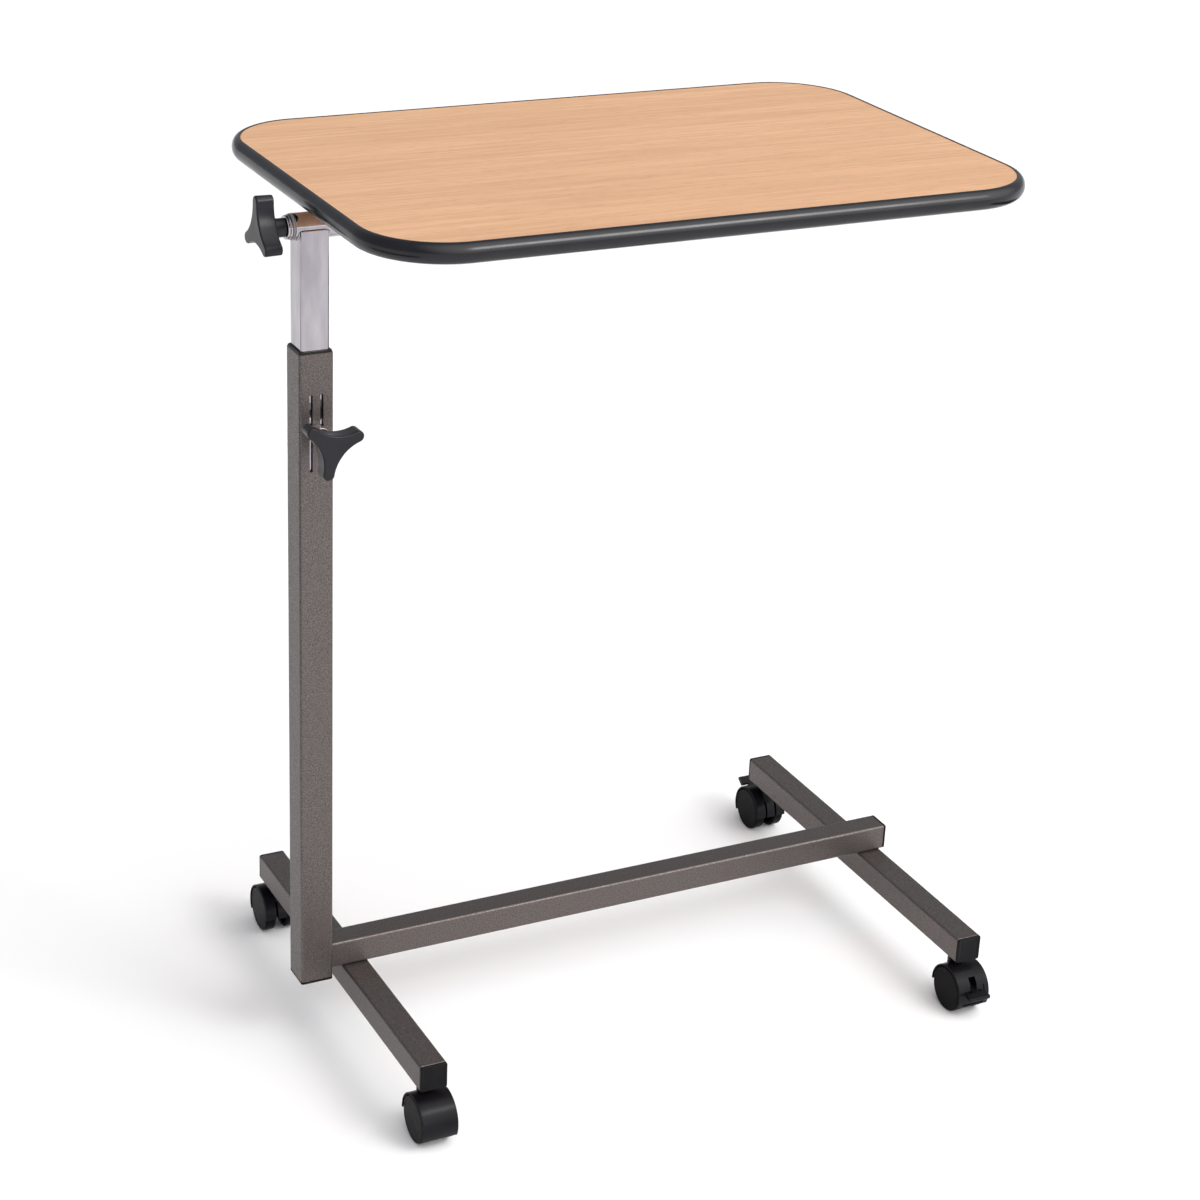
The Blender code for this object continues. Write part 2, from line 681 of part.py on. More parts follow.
def hood_mesh(with_slot):
    """A shell over both wheels, with a web between them and a neck for the stem."""
    body = turned([(HOOD_RADIUS, -HOOD_HALF_WIDTH), (HOOD_RADIUS, HOOD_HALF_WIDTH)], "X", segments=32)
    neck_top = CASTOR_HEIGHT - WHEEL_RADIUS - NECK_CLEARANCE
    neck = turned([(NECK_RADIUS, 10 * mm), (NECK_RADIUS, neck_top)])
    steps = [("UNION", moved(neck, (0, CASTOR_TRAIL, 0)))]
    far = 30 * mm
    cutters = []
    for side in (-1, 1):
        ends = sorted((side * WEB_HALF_WIDTH, side * far))
        cutters.append(turned([(HOOD_INNER_RADIUS, ends[0]), (HOOD_INNER_RADIUS, ends[1])], "X", segments=32))
        notch = sorted((side * (WEB_HALF_WIDTH - 0.1 * mm), side * 6.5 * mm))
        cutters.append(block((notch[0], 4 * mm, -far), (notch[1], far, 15 * mm)))
    cutters.append(block((-far, -far, -far), (far, far, -10 * mm)))
    cutters.append(block((-far, 7 * mm, -far), (far, far, -mm)))
    stem_bore = turned([(STEM_RADIUS + 0.15 * mm, 2 * mm), (STEM_RADIUS + 0.15 * mm, far)])
    cutters.append(moved(stem_bore, (0, CASTOR_TRAIL, 0)))
    cutters.append(turned([(AXLE_RADIUS + 0.25 * mm, -far), (AXLE_RADIUS + 0.25 * mm, far)], "X"))
    if with_slot:
        first = LEVER_RAISED - LEVER_MARGIN
        last = LEVER_PRESSED + LEVER_MARGIN
        sweep = arc(LEVER_PIVOT, 24 * mm, first, last, 6)
        hub = arc(LEVER_PIVOT, 4.2 * mm, last, first + 360, 12)
        cutters.append(prism(sweep + hub, -3.6 * mm, 3.6 * mm, "X"))
    steps += [("DIFFERENCE", cutter) for cutter in cutters]
    return combined(body, *steps)


def lever_mesh(heading):
    """A brake lever about its pivot: a round hub, a narrow arm and a wide tab."""
    along = lever_heading(heading)
    across = (-along[1], along[0])

    def outline(near, far, half):
        corners = ((far, half), (near, half), (near, -half), (far, -half))
        return [(a * along[0] + b * across[0], a * along[1] + b * across[1]) for a, b in corners]

    hub = turned([(3.8 * mm, -3.2 * mm), (3.8 * mm, 3.2 * mm)], "X")
    arm = prism(outline(0, 17.5 * mm, 1.7 * mm), -3.2 * mm, 3.2 * mm, "X")
    tab_rows = []
    for half_x, near, far, half in (
        (10.4, 16.2, 24.6, 1.2),
        (9.8, 15.8, 25.6, 1.9),
        (-9.8, 15.8, 25.6, 1.9),
        (-10.4, 16.2, 24.6, 1.2),
    ):
        tab_rows.append((outline(near * mm, far * mm, half * mm), half_x * mm))
    tab = loft(tab_rows, "X")
    return combined(hub, ("UNION", arm), ("UNION", tab))


def build_castors(root, finish):
    plain_hood = hood_mesh(with_slot=False)
    slotted_hood = hood_mesh(with_slot=True)
    wheels = {side: wheel_mesh(side) for side in (-1, 1)}
    axle = turned([(AXLE_RADIUS, -AXLE_HALF_LENGTH), (AXLE_RADIUS, AXLE_HALF_LENGTH)], "X")
    stem_foot = WHEEL_RADIUS + CUT_BEYOND - CASTOR_HEIGHT
    flange_bottom = -GAP - STEM_FLANGE
    stem = turned(
        [
            (STEM_RADIUS, stem_foot),
            (STEM_RADIUS, flange_bottom),
            (STEM_FLANGE_RADIUS, flange_bottom),
            (STEM_FLANGE_RADIUS, -GAP),
            (THREAD_RADIUS, -GAP),
            (THREAD_RADIUS, STEM_THREAD_LENGTH),
        ]
    )
    nut_bottom = TUBE_WALL + GAP
    nut_top = nut_bottom + NUT_HEIGHT
    nut = turned(
        [
            (NUT_RADIUS, nut_bottom),
            (NUT_RADIUS, nut_top),
            (THREAD_BORE, nut_top),
            (THREAD_BORE, nut_bottom),
        ],
        closed=True,
    )
    for label_x, x in (("left", LEFT_FOOT_X), ("right", RIGHT_FOOT_X)):
        for label_y, end in (("front", -1), ("rear", 1)):
            label = f"{label_y}_{label_x}"
            turn = (0, 0, 0 if end < 0 else math.pi)
            stem_y = FOOT_MIDDLE_Y + end * (FOOT_LENGTH / 2 - STEM_INSET)
            swivel = empty(f"swivel_axis_{label}", (x, stem_y, FOOT_BOTTOM), root)
            piece(f"castor_nut_{label}", nut, finish["zinc"], swivel)
            piece(f"castor_stem_{label}", stem, finish["zinc"], swivel)
            axle_place = (0, end * CASTOR_TRAIL, WHEEL_RADIUS - FOOT_BOTTOM)
            rolling = empty(f"axle_axis_{label}", axle_place, swivel)
            braked = label_x == "right"
            hood = slotted_hood if braked else plain_hood
            piece(f"castor_hood_{label}", hood, finish["castor"], rolling, rotation=turn)
            piece(f"castor_axle_{label}", axle, finish["zinc"], rolling)
            for side, name in ((-1, "a"), (1, "b")):
                piece(f"castor_wheel_{label}_{name}", wheels[side], finish["castor"], rolling)
            if braked:
                heading = LEVER_PRESSED if end < 0 else LEVER_RAISED
                pivot = (0, -end * LEVER_PIVOT[0], LEVER_PIVOT[1])
                lever = lever_mesh(heading)
                piece(f"brake_lever_{label}", lever, finish["castor"], rolling, pivot, turn)


def stand_on_origin(root):
    """Centre the object's box on the origin, with its lowest point at z = 0."""
    bpy.context.view_layer.update()
    corners = []
    for obj in bpy.data.objects:
        if obj.type == "MESH":
            corners += [obj.matrix_world @ vertex.co for vertex in obj.data.vertices]
    low = [min(corner[i] for corner in corners) for i in range(3)]
    high = [max(corner[i] for corner in corners) for i in range(3)]
    root.location = (-(low[0] + high[0]) / 2, -(low[1] + high[1]) / 2, -low[2])


def main():
    clear_scene()
    finish = {
        "paint": material("frame_paint", (0.16, 0.145, 0.135), 0.5, 0.4),
        "chrome": material("chrome", (0.78, 0.77, 0.78), 0.08, 1.0),
        "wood": material("beech_laminate", (0.78, 0.55, 0.34), 0.45),
        "edge": material("edge_black", (0.02, 0.02, 0.023), 0.35),
        "plastic": material("black_plastic", (0.035, 0.035, 0.04), 0.45),
        "castor": material("castor_nylon", (0.04, 0.04, 0.045), 0.4),
        "nylon": material("dark_nylon", (0.03, 0.03, 0.03), 0.5),
        "zinc": material("zinc_steel", (0.55, 0.56, 0.58), 0.35, 1.0),
    }
    root = empty("table_frame", (0, 0, 0))
    build_feet(root, finish)
    build_bar(root, finish)
    build_column(root, finish)
    build_guide_bush(root, finish)
    build_height_clamp(root, finish)
    mast = build_mast(root, finish)
    tilt = empty("tilt_axis", (0, 0, TILT_AXIS_Z), mast)
    build_tilt_shaft(tilt, finish)
    build_saddles(tilt, finish)
    build_top(tilt, finish)
    build_tilt_clamp(tilt, finish)
    build_castors(root, finish)
    stand_on_origin(root)


main()
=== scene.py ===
"""Overbed table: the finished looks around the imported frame.

Each fine piece takes its place and its outer size from the box of the CAD node that it
stands for, so it moves and measures as that node does. Metres, +Z up: X runs along the
table's length from the column, and -Y is the side of the height knob.
"""

import json
import math

import bmesh
import bpy
from mathutils import Matrix, Vector

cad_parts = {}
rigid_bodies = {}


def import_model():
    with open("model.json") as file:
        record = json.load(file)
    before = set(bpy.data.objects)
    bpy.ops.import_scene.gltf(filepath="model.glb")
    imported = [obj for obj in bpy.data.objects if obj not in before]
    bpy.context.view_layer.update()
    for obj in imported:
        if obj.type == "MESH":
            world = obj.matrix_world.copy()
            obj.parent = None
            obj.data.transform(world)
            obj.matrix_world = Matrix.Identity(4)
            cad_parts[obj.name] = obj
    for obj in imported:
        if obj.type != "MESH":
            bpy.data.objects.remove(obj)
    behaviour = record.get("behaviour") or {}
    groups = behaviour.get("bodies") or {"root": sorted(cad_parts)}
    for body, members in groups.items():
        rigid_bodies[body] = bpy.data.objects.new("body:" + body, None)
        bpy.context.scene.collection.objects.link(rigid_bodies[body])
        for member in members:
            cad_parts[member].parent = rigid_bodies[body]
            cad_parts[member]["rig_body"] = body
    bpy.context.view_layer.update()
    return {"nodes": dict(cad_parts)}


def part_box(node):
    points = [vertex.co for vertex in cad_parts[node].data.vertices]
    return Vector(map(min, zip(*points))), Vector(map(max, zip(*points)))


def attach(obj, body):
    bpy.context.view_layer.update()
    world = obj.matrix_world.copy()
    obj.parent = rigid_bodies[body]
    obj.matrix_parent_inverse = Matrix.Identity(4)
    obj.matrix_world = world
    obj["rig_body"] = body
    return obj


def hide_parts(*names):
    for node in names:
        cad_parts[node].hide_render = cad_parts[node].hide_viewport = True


mm = 0.001

# Square tubes and their end caps
TUBE_WALL = 1.5 * mm
TUBE_CORNER = 2.2 * mm
TUBE_EASE = 0.25 * mm
CAP_THICKNESS = 2.5 * mm
CAP_EDGE = 0.9 * mm
CAP_LIP = 2.3 * mm
CAP_LIP_SLOPE = 0.5 * mm
CAP_FIELD_INSET = 1.1 * mm
CAP_FIELD_DEPTH = 0.4 * mm
CAP_LEAST_CORNER = 0.6 * mm
PLUG_CORNER = 0.8 * mm
FIT = 0.3 * mm
WALL_CUT_DEPTH = 3 * mm

# Weld beads: radius, and how far each lies from the edge or face that it follows
BEAD_SIDES = 10
BEAD_RIPPLE = 0.12
BEAD_END_SHARE = 0.45
FOOT_BEAD = 1.1 * mm
FOOT_BEAD_INWARD = 0.9 * mm
FOOT_BEAD_BELOW = 0.7 * mm
BAR_BEAD = 0.75 * mm
BAR_BEAD_OUTWARD = 0.1 * mm
BAR_BEAD_STEP = 1.2 * mm
SLEEVE_BEAD = 0.8 * mm
SLEEVE_BEAD_OUTWARD = 0.2 * mm
SLEEVE_BEAD_START = 34
SLEEVE_BEAD_SWEEP = 44
LIP_BEAD = 0.7 * mm
LIP_BEAD_INWARD = 0.75 * mm
LIP_BEAD_BELOW = 0.15 * mm

# Slits and bore in the column's front wall, measured from the height knob's axis
SLIT_WIDTH = 2.8 * mm
SLIT_END_RADIUS = 0.49 * SLIT_WIDTH
SLIT_OFFSET = 4.65 * mm
SLIT_BELOW = 34.1 * mm
SLIT_ABOVE = 33.5 * mm
BORE_RADIUS = 4.15 * mm
BUSH_RIM_EDGE = 0.5 * mm

# Tilting joint
SLEEVE_WALL = 1.5 * mm
SLEEVE_EDGE = 0.5 * mm
SHAFT_RADIUS = 8 * mm
SHAFT_NEAR_EDGE = 0.5 * mm
SHAFT_FAR_EDGE = 1 * mm
SHAFT_BORE_DEPTH = 30 * mm
SLIDING_FIT = 0.15 * mm
BUSH_FLANGE = 1.5 * mm
BUSH_EDGE = 0.3 * mm
STOP_RING_EDGE = 0.6 * mm
STOP_RING_SCREW_RADIUS = 1.5 * mm
SADDLE_THICKNESS = 2.5 * mm
SADDLE_EDGE = 0.35 * mm
SADDLE_CUT = 6 * mm

# Pan-head screws: the dome starts at a share of the head's radius, over a share of its height
SCREW_HOLE = 2.1 * mm
SCREW_SHANK = 1.8 * mm
SCREW_HEAD = 2.3 * mm
SCREW_DOME_START = 0.55
SCREW_DOME_HEIGHT = 0.6
SCREW_POINT = 2 * mm
SCREW_TIP_RADIUS = 0.4 * mm
CROSS_REACH = 2.1 * mm
CROSS_HALF_WIDTH = 0.45 * mm
CROSS_DEPTH = 1.2 * mm

# Three-lobed knobs, with the angle of each one's first lobe in degrees
HEIGHT_KNOB_ANGLE = 20
TILT_KNOB_ANGLE = 90
KNOB_DEPTH = 15 * mm
KNOB_LOBE_CENTRE = 23 * mm
KNOB_LOBE_RADIUS = 5 * mm
KNOB_WAIST = 11 * mm
KNOB_FRONT_EDGE = 1.5 * mm
KNOB_BACK_EDGE = 0.9 * mm
KNOB_DRAFT = 0.35 * mm
KNOB_RIM = 2.1 * mm
KNOB_RECESS = 1.1 * mm
KNOB_RECESS_SLOPE = 0.3 * mm
KNOB_HUB_RADIUS = 7.75 * mm
KNOB_HUB_EDGE = 0.5 * mm
KNOB_BORE_EDGE = 0.4 * mm
KNOB_POCKET = 9 * mm
BOSS_EDGE = 0.6 * mm
COLLAR_EDGE = 0.5 * mm
COLLAR_STEP = 0.5 * mm
COLLAR_GROOVE_DEPTH = 1.3 * mm
COLLAR_GROOVE_HALF = 0.25 * mm

# Table top
TOP_CORNER_RADIUS = 72 * mm
BOARD_EASE = 0.45 * mm
BOARD_HOLE_DEPTH = 12.5 * mm
EDGE_GAP = 0.05 * mm
EDGE_BULGE = 7 * mm
EDGE_TONGUE = 7 * mm
EDGE_TONGUE_HALF = 0.9 * mm

# Castors, measured from the axle
WHEEL_RADIUS = 21.5 * mm
WHEEL_OUTER_X = 16.2 * mm
WHEEL_INNER_X = 5.8 * mm
WHEEL_RIM_ROUND = 1.8 * mm
WHEEL_INNER_EDGE = 1 * mm
WHEEL_BORE_END = 13.2 * mm
WHEEL_HUB_RADIUS = 5 * mm
WHEEL_HOLLOW_X = 13 * mm
WHEEL_HOLLOW_RADIUS = 17.5 * mm
WHEEL_GROOVE_RADIUS = 18.2 * mm
WHEEL_GROOVE_DEPTH = 0.25 * mm
WHEEL_FACE_DEPTH = 0.12 * mm
WHEEL_FACE_STEP = 0.35 * mm
HOOD_RADIUS = 24 * mm
HOOD_INNER_RADIUS = 22.2 * mm
HOOD_HALF_WIDTH = 16.6 * mm
HOOD_ROUND = 0.8 * mm
HOOD_FLARE_RADIUS = 22.9 * mm
HOOD_FLARE_START = 14.6 * mm
HOOD_FLARE_LENGTH = 0.8 * mm
HOOD_EDGE = 0.3 * mm
HOOD_SKIRT = -10 * mm
HOOD_REAR = 7 * mm
HOOD_REAR_SKIRT = -1 * mm
HOOD_CUTTER_REACH = 30 * mm
WEB_HALF_WIDTH = 4.5 * mm
WEB_POCKET_X = (WEB_HALF_WIDTH - 0.1 * mm, 6.5 * mm)
WEB_POCKET_START = 4 * mm
WEB_POCKET_TOP = 15 * mm
CASTOR_TRAIL = 12 * mm
AXLE_RADIUS = 2 * mm
AXLE_FIT = 0.25 * mm
STEM_RADIUS = 3 * mm
STEM_BORE_START = 2 * mm
NECK_RADIUS = 7.5 * mm
NECK_ROOT = 10 * mm
NECK_TOP = 28.3 * mm
NECK_EDGE = 0.6 * mm

# Brake levers: the pivot from the axle, lengths from the pivot and headings in degrees
LEVER_PIVOT = (-9 * mm, 7 * mm)
LEVER_RAISED = 146
LEVER_PRESSED = 186
LEVER_HUB_RADIUS = 3.8 * mm
LEVER_HALF_WIDTH = 3.2 * mm
LEVER_ARM_END = 17.5 * mm
LEVER_ARM_HALF_HEIGHT = 1.7 * mm
LEVER_TAB_START = 15.8 * mm
LEVER_TAB_END = 25.6 * mm
LEVER_TAB_HALF_HEIGHT = 1.9 * mm
LEVER_TAB_HALF_WIDTH = 10.4 * mm
LEVER_TAB_ROUND = 1.2 * mm
LEVER_EDGE = 0.45 * mm

# Slot that a lever swings in, past its raised and pressed headings by the margin, and the
# shallow recess round it
SLOT_MARGIN = 25
SLOT_REACH = 24 * mm
SLOT_HUB_RADIUS = 4.2 * mm
SLOT_HALF_WIDTH = 3.6 * mm
RECESS_DEPTH = 0.9 * mm
RECESS_FIRST = 152
RECESS_LAST = 200
RECESS_HALF_WIDTH = 11.4 * mm

# Plastics: dark and pale colour, roughness, specular level and grain height
PLASTICS = {
    "edge_black": ((0.004, 0.004, 0.006), (0.008, 0.008, 0.011), 0.22, 0.38, 0.01 * mm),
    "cap_plastic": ((0.004, 0.004, 0.005), (0.007, 0.007, 0.008), 0.42, 0.1, 0.06 * mm),
    "knob_plastic": ((0.007, 0.0065, 0.009), (0.012, 0.011, 0.015), 0.33, 0.28, 0.05 * mm),
    "castor_plastic": ((0.004, 0.0036, 0.005), (0.008, 0.007, 0.009), 0.3, 0.13, 0.04 * mm),
    "wheel_plastic": ((0.004, 0.0037, 0.0045), (0.006, 0.0055, 0.0065), 0.3, 0.035, 0.05 * mm),
    "nylon": ((0.006, 0.006, 0.006), (0.012, 0.012, 0.012), 0.42, 0.3, 0.05 * mm),
    "pale_nylon": ((0.2, 0.195, 0.19), (0.28, 0.275, 0.27), 0.42, 0.5, 0.04 * mm),
}

# Edge rounding and smooth shading, angles in degrees
EASE_ANGLE = 35
EASE_SEGMENTS = 2
SMOOTH_ANGLE = 38

# Studio: the sky's colours, lamps as (name, place, aim, size, watts), and flags as
# (place, heading in degrees, width, height)
FLOOR_REACH = 60.0
FLOOR_DEPTH = 0.02
FLOOR_GAP = 0.2 * mm
FLAG_HALF_DEPTH = 0.01
SKY_KEY = (0.42, -0.66, 0.62)
SKY_DIM = (0.41, 0.425, 0.455)
SKY_SEEN = (0.97, 0.97, 0.98)
SKY_BRIGHT = (2.75, 2.72, 2.7)
LAMPS = (("window_light", (0.84, -1.64, 1.86), (0.0, -0.2, 0.8), (0.9, 0.6), 17),)
FLAGS = (
    ((-1.26, -0.125, 0.0), 116.7, 1.5, 0.3),
    ((1.15, -0.2, 0.0), 80.0, 1.3, 0.3),
)

# Camera: the lens in mm on a 36 mm sensor, angles in degrees
CAMERA_PLACE = (-1.0384, -2.0057, 1.3910)
CAMERA_SENSOR = 36
CAMERA_LENS = 82.24
CAMERA_YAW = -27.45
CAMERA_PITCH = -23.89
CAMERA_ROLL = 2.54

AXES = {
    "X": lambda u, v, w: (w, u, v),
    "Y": lambda u, v, w: (u, w, v),
    "Z": lambda u, v, w: (u, v, w),
}


# Outlines: lists of (u, v) points, counter-clockwise


def arc(centre, radius, start, end, steps):
    """Points on a circle from start to end degrees, both ends included."""
    points = []
    for step in range(steps + 1):
        angle = math.radians(start + (end - start) * step / steps)
        across, up = radius * math.cos(angle), radius * math.sin(angle)
        points.append((centre[0] + across, centre[1] + up))
    return points


def circle(radius, segments=64):
    return arc((0, 0), radius, 0, 360, segments)[:-1]


def rounded_rectangle(half_u, half_v, radius, steps=8):
    points = []
    for quarter, (side_u, side_v) in enumerate(((1, 1), (-1, 1), (-1, -1), (1, -1))):
        centre = (side_u * (half_u - radius), side_v * (half_v - radius))
        points += arc(centre, radius, 90 * quarter, 90 * quarter + 90, steps)
    return points


def softened(points, reach, steps=4):
    """The same closed line with each corner rounded over the reach on both of its sides."""
    result = []
    for i, corner in enumerate(points):
        here = Vector(corner)
        back = Vector(points[i - 1]) - here
        ahead = Vector(points[(i + 1) % len(points)]) - here
        cut = min(reach, 0.45 * back.length, 0.45 * ahead.length)
        first = here + cut * back.normalized()
        last = here + cut * ahead.normalized()
        for step in range(steps + 1):
            t = step / steps
            result.append(tuple((1 - t) ** 2 * first + 2 * t * (1 - t) * here + t * t * last))
    return result


def knob_outline(lobe_angle, inset=0.0):
    """Three round lobes joined by hollow flanks tangent to them, drawn in by the inset."""
    reach = KNOB_LOBE_CENTRE
    lobe = KNOB_LOBE_RADIUS
    step_in = KNOB_WAIST - lobe
    flank_centre = (reach**2 - step_in**2) / (reach - 2 * step_in)
    flank = flank_centre - KNOB_WAIST
    lobe_to_flank_u = flank_centre * math.cos(math.radians(60)) - reach
    lobe_to_flank_v = flank_centre * math.sin(math.radians(60))
    turn = math.degrees(math.atan2(lobe_to_flank_v, lobe_to_flank_u))
    points = []
    for number in range(3):
        heading = lobe_angle + 120 * number
        along = math.radians(heading)
        tip = (reach * math.cos(along), reach * math.sin(along))
        points += arc(tip, lobe - inset, heading - turn, heading + turn, 20)
        between = math.radians(heading + 60)
        middle = (flank_centre * math.cos(between), flank_centre * math.sin(between))
        hollow = arc(middle, flank + inset, heading + turn + 180, heading + 300 - turn, 20)
        points += hollow[1:-1]
    return points


def rolled_edge(radius, start, size):
    """A quarter round as (radius, position) pairs: full radius at start, then out to the side."""
    points = []
    for degrees in range(0, 91, 15):
        angle = math.radians(degrees)
        points.append((radius - size * (1 - math.cos(angle)), start + size * math.sin(angle)))
    return points


def on_circle(outline, radius):
    """The outline's directions, at one distance from the middle."""
    return [(radius * u / math.hypot(u, v), radius * v / math.hypot(u, v)) for u, v in outline]


# Meshes made from rings of points


def loft(sections, axis="Z", closed=False):
    """Skin a row of (outline, position) sections. A closed row bites its own tail."""
    bm = bmesh.new()
    place = AXES[axis]
    rings = [[bm.verts.new(place(u, v, w)) for u, v in outline] for outline, w in sections]
    pairs = list(zip(rings, rings[1:]))
    if closed:
        pairs.append((rings[-1], rings[0]))
    else:
        bm.faces.new(rings[0])
        bm.faces.new(rings[-1])
    for ring, after in pairs:
        for i in range(len(ring)):
            j = (i + 1) % len(ring)
            bm.faces.new((ring[i], ring[j], after[j], after[i]))
    return finished(bm)


def finished(bm):
    bmesh.ops.recalc_face_normals(bm, faces=bm.faces)
    mesh = bpy.data.meshes.new("solid")
    bm.to_mesh(mesh)
    bm.free()
    return mesh


def turned(profile, axis="Z", closed=False, segments=64):
    """A turned solid from (radius, position) pairs."""
    return loft([(circle(radius, segments), w) for radius, w in profile], axis, closed)


def prism(outline, start, end, axis="Z"):
    return loft([(outline, start), (outline, end)], axis)


def block(low, high):
    half_x = (high[0] - low[0]) / 2
    half_y = (high[1] - low[1]) / 2
    corners = ((half_x, half_y), (-half_x, half_y), (-half_x, -half_y), (half_x, -half_y))
    return moved(prism(corners, low[2], high[2]), (low[0] + half_x, low[1] + half_y, 0))


def moved(mesh, offset):
    mesh.transform(Matrix.Translation(offset))
    return mesh


def eased(mesh, width):
    """The mesh with its sharp edges rounded off."""
    bm = bmesh.new()
    bm.from_mesh(mesh)
    limit = math.radians(EASE_ANGLE)
    sharp = [edge for edge in bm.edges if edge.is_manifold and edge.calc_face_angle() > limit]
    bmesh.ops.bevel(
        bm,
        geom=sharp,
        offset=width,
        offset_type="OFFSET",
        segments=EASE_SEGMENTS,
        profile=0.5,
        affect="EDGES",
        clamp_overlap=True,
    )
    bm.to_mesh(mesh)
    bm.free()
    return mesh


def combined(mesh, *steps):
    """The mesh after Boolean steps, each an operation name and another mesh."""
    body = bpy.data.objects.new("body", mesh)
    bpy.context.collection.objects.link(body)
    tools = []
    for number, (operation, other) in enumerate(steps):
        tool = bpy.data.objects.new("tool", other)
        bpy.context.collection.objects.link(tool)
        tools.append(tool)
        modifier = body.modifiers.new(f"step {number}", "BOOLEAN")
        modifier.operation = operation
        modifier.solver = "EXACT"
        modifier.object = tool
    bpy.context.view_layer.update()
    graph = bpy.context.evaluated_depsgraph_get()
    result = bpy.data.meshes.new_from_object(body.evaluated_get(graph))
    for obj in [body, *tools]:
        bpy.data.objects.remove(obj, do_unlink=True)
    return result


def cut(mesh, *cutters):
    return combined(mesh, *[("DIFFERENCE", cutter) for cutter in cutters])


# Node materials


def add_node(tree, kind, inputs=None, **settings):
    """A shader node with its settings, and its inputs given as values or as sockets to link."""
    made = tree.nodes.new(kind)
    for name, value in settings.items():
        setattr(made, name, value)
    for name, value in (inputs or {}).items():
        if isinstance(value, bpy.types.NodeSocket):
            tree.links.new(value, made.inputs[name])
        else:
            made.inputs[name].default_value = value
    return made


def new_finish(name, roughness, metallic=0.0, **sockets):
    """A new material, with its node tree and its shader."""
    material = bpy.data.materials.new(name)
    material.use_nodes = True
    tree = material.node_tree
    shader = tree.nodes["Principled BSDF"]
    shader.inputs["Roughness"].default_value = roughness
    shader.inputs["Metallic"].default_value = metallic
    for socket, value in sockets.items():
        shader.inputs[socket.replace("_", " ")].default_value = value
    return material, tree, shader


def noise(tree, scale, detail=3.0, stretch=(1, 1, 1), roughness=0.5, distortion=0.0):
    """Noise in the piece's own space; scale is in features per metre."""
    place = add_node(tree, "ShaderNodeTexCoord")
    mapping = add_node(
        tree,
        "ShaderNodeMapping",
        {"Vector": place.outputs["Object"], "Scale": stretch},
    )
    made = add_node(
        tree,
        "ShaderNodeTexNoise",
        {
            "Vector": mapping.outputs["Vector"],
            "Scale": scale,
            "Detail": detail,
            "Roughness": roughness,
            "Distortion": distortion,
        },
    )
    return made.outputs["Fac"]


def spread(tree, value, low, high, to_low=0.0, to_high=1.0):
    """A value's range from low to high mapped to another range."""
    made = add_node(
        tree,
        "ShaderNodeMapRange",
        {"Value": value, "From Min": low, "From Max": high, "To Min": to_low, "To Max": to_high},
    )
    return made.outputs["Result"]


def blended(tree, share, first, second):
    """Two colours, each a value or a socket, mixed by a share."""
    made = add_node(tree, "ShaderNodeMix", data_type="RGBA")
    tree.links.new(share, made.inputs["Factor"])
    for socket, colour in ((made.inputs[6], first), (made.inputs[7], second)):
        if isinstance(colour, bpy.types.NodeSocket):
            tree.links.new(colour, socket)
        else:
            socket.default_value = (*colour, 1)
    return made.outputs[2]


def bumped(tree, shader, height, distance, strength):
    made = add_node(
        tree,
        "ShaderNodeBump",
        {"Height": height, "Distance": distance, "Strength": strength},
    )
    tree.links.new(made.outputs["Normal"], shader.inputs["Normal"])


def frame_paint():
    """Grey-brown metallic powder coat with a fine hammered grain."""
    material, tree, shader = new_finish("frame_paint", 0.42, 0.8)
    grain = noise(tree, 900, detail=2.5, roughness=0.6)
    cloud = noise(tree, 60, detail=2)
    flecks = spread(tree, grain, 0.36, 0.66)
    base = blended(tree, flecks, (0.074, 0.064, 0.061), (0.172, 0.148, 0.14))
    worn = blended(tree, spread(tree, cloud, 0.35, 0.7, 0.0, 0.35), base, (0.123, 0.107, 0.101))
    tree.links.new(worn, shader.inputs["Base Color"])
    tree.links.new(spread(tree, grain, 0.3, 0.7, 0.5, 0.34), shader.inputs["Roughness"])
    bumped(tree, shader, grain, 0.22 * mm, 0.5)
    return material


def chrome():
    """Bright plate with faint handling marks."""
    material, tree, shader = new_finish("chrome", 0.08, 1.0)
    haze = noise(tree, 90, detail=4, stretch=(1, 1, 0.25))
    pits = noise(tree, 2600, detail=1)
    base = blended(tree, spread(tree, haze, 0.3, 0.7), (0.35, 0.325, 0.355), (0.47, 0.445, 0.47))
    tree.links.new(base, shader.inputs["Base Color"])
    tree.links.new(spread(tree, haze, 0.35, 0.75, 0.05, 0.13), shader.inputs["Roughness"])
    bumped(tree, shader, pits, 0.01 * mm, 0.25)
    return material


def wood_laminate():
    """Light beech print: long soft bands, fine pores along X and a pink cast."""
    material, tree, shader = new_finish("wood_laminate", 0.5, Specular_IOR_Level=0.25)
    bands = noise(tree, 26, detail=4, stretch=(0.09, 1, 1), distortion=0.35)
    streaks = noise(tree, 230, detail=4, stretch=(0.035, 1, 1), roughness=0.62)
    pores = noise(tree, 700, detail=2, stretch=(0.085, 1, 1), roughness=0.6)
    broad = blended(tree, spread(tree, bands, 0.3, 0.7), (0.62, 0.352, 0.2), (0.7, 0.418, 0.24))
    lined = blended(tree, spread(tree, streaks, 0.4, 0.72, 0.0, 0.5), broad, (0.51, 0.286, 0.16))
    pale = blended(tree, spread(tree, streaks, 0.5, 0.25, 0.0, 0.35), lined, (0.76, 0.487, 0.292))
    dashes = blended(tree, spread(tree, pores, 0.58, 0.7, 0.0, 0.5), pale, (0.41, 0.222, 0.118))
    tree.links.new(dashes, shader.inputs["Base Color"])
    tree.links.new(spread(tree, streaks, 0.3, 0.7, 0.46, 0.56), shader.inputs["Roughness"])
    bumped(tree, shader, pores, 0.03 * mm, 0.4)
    return material


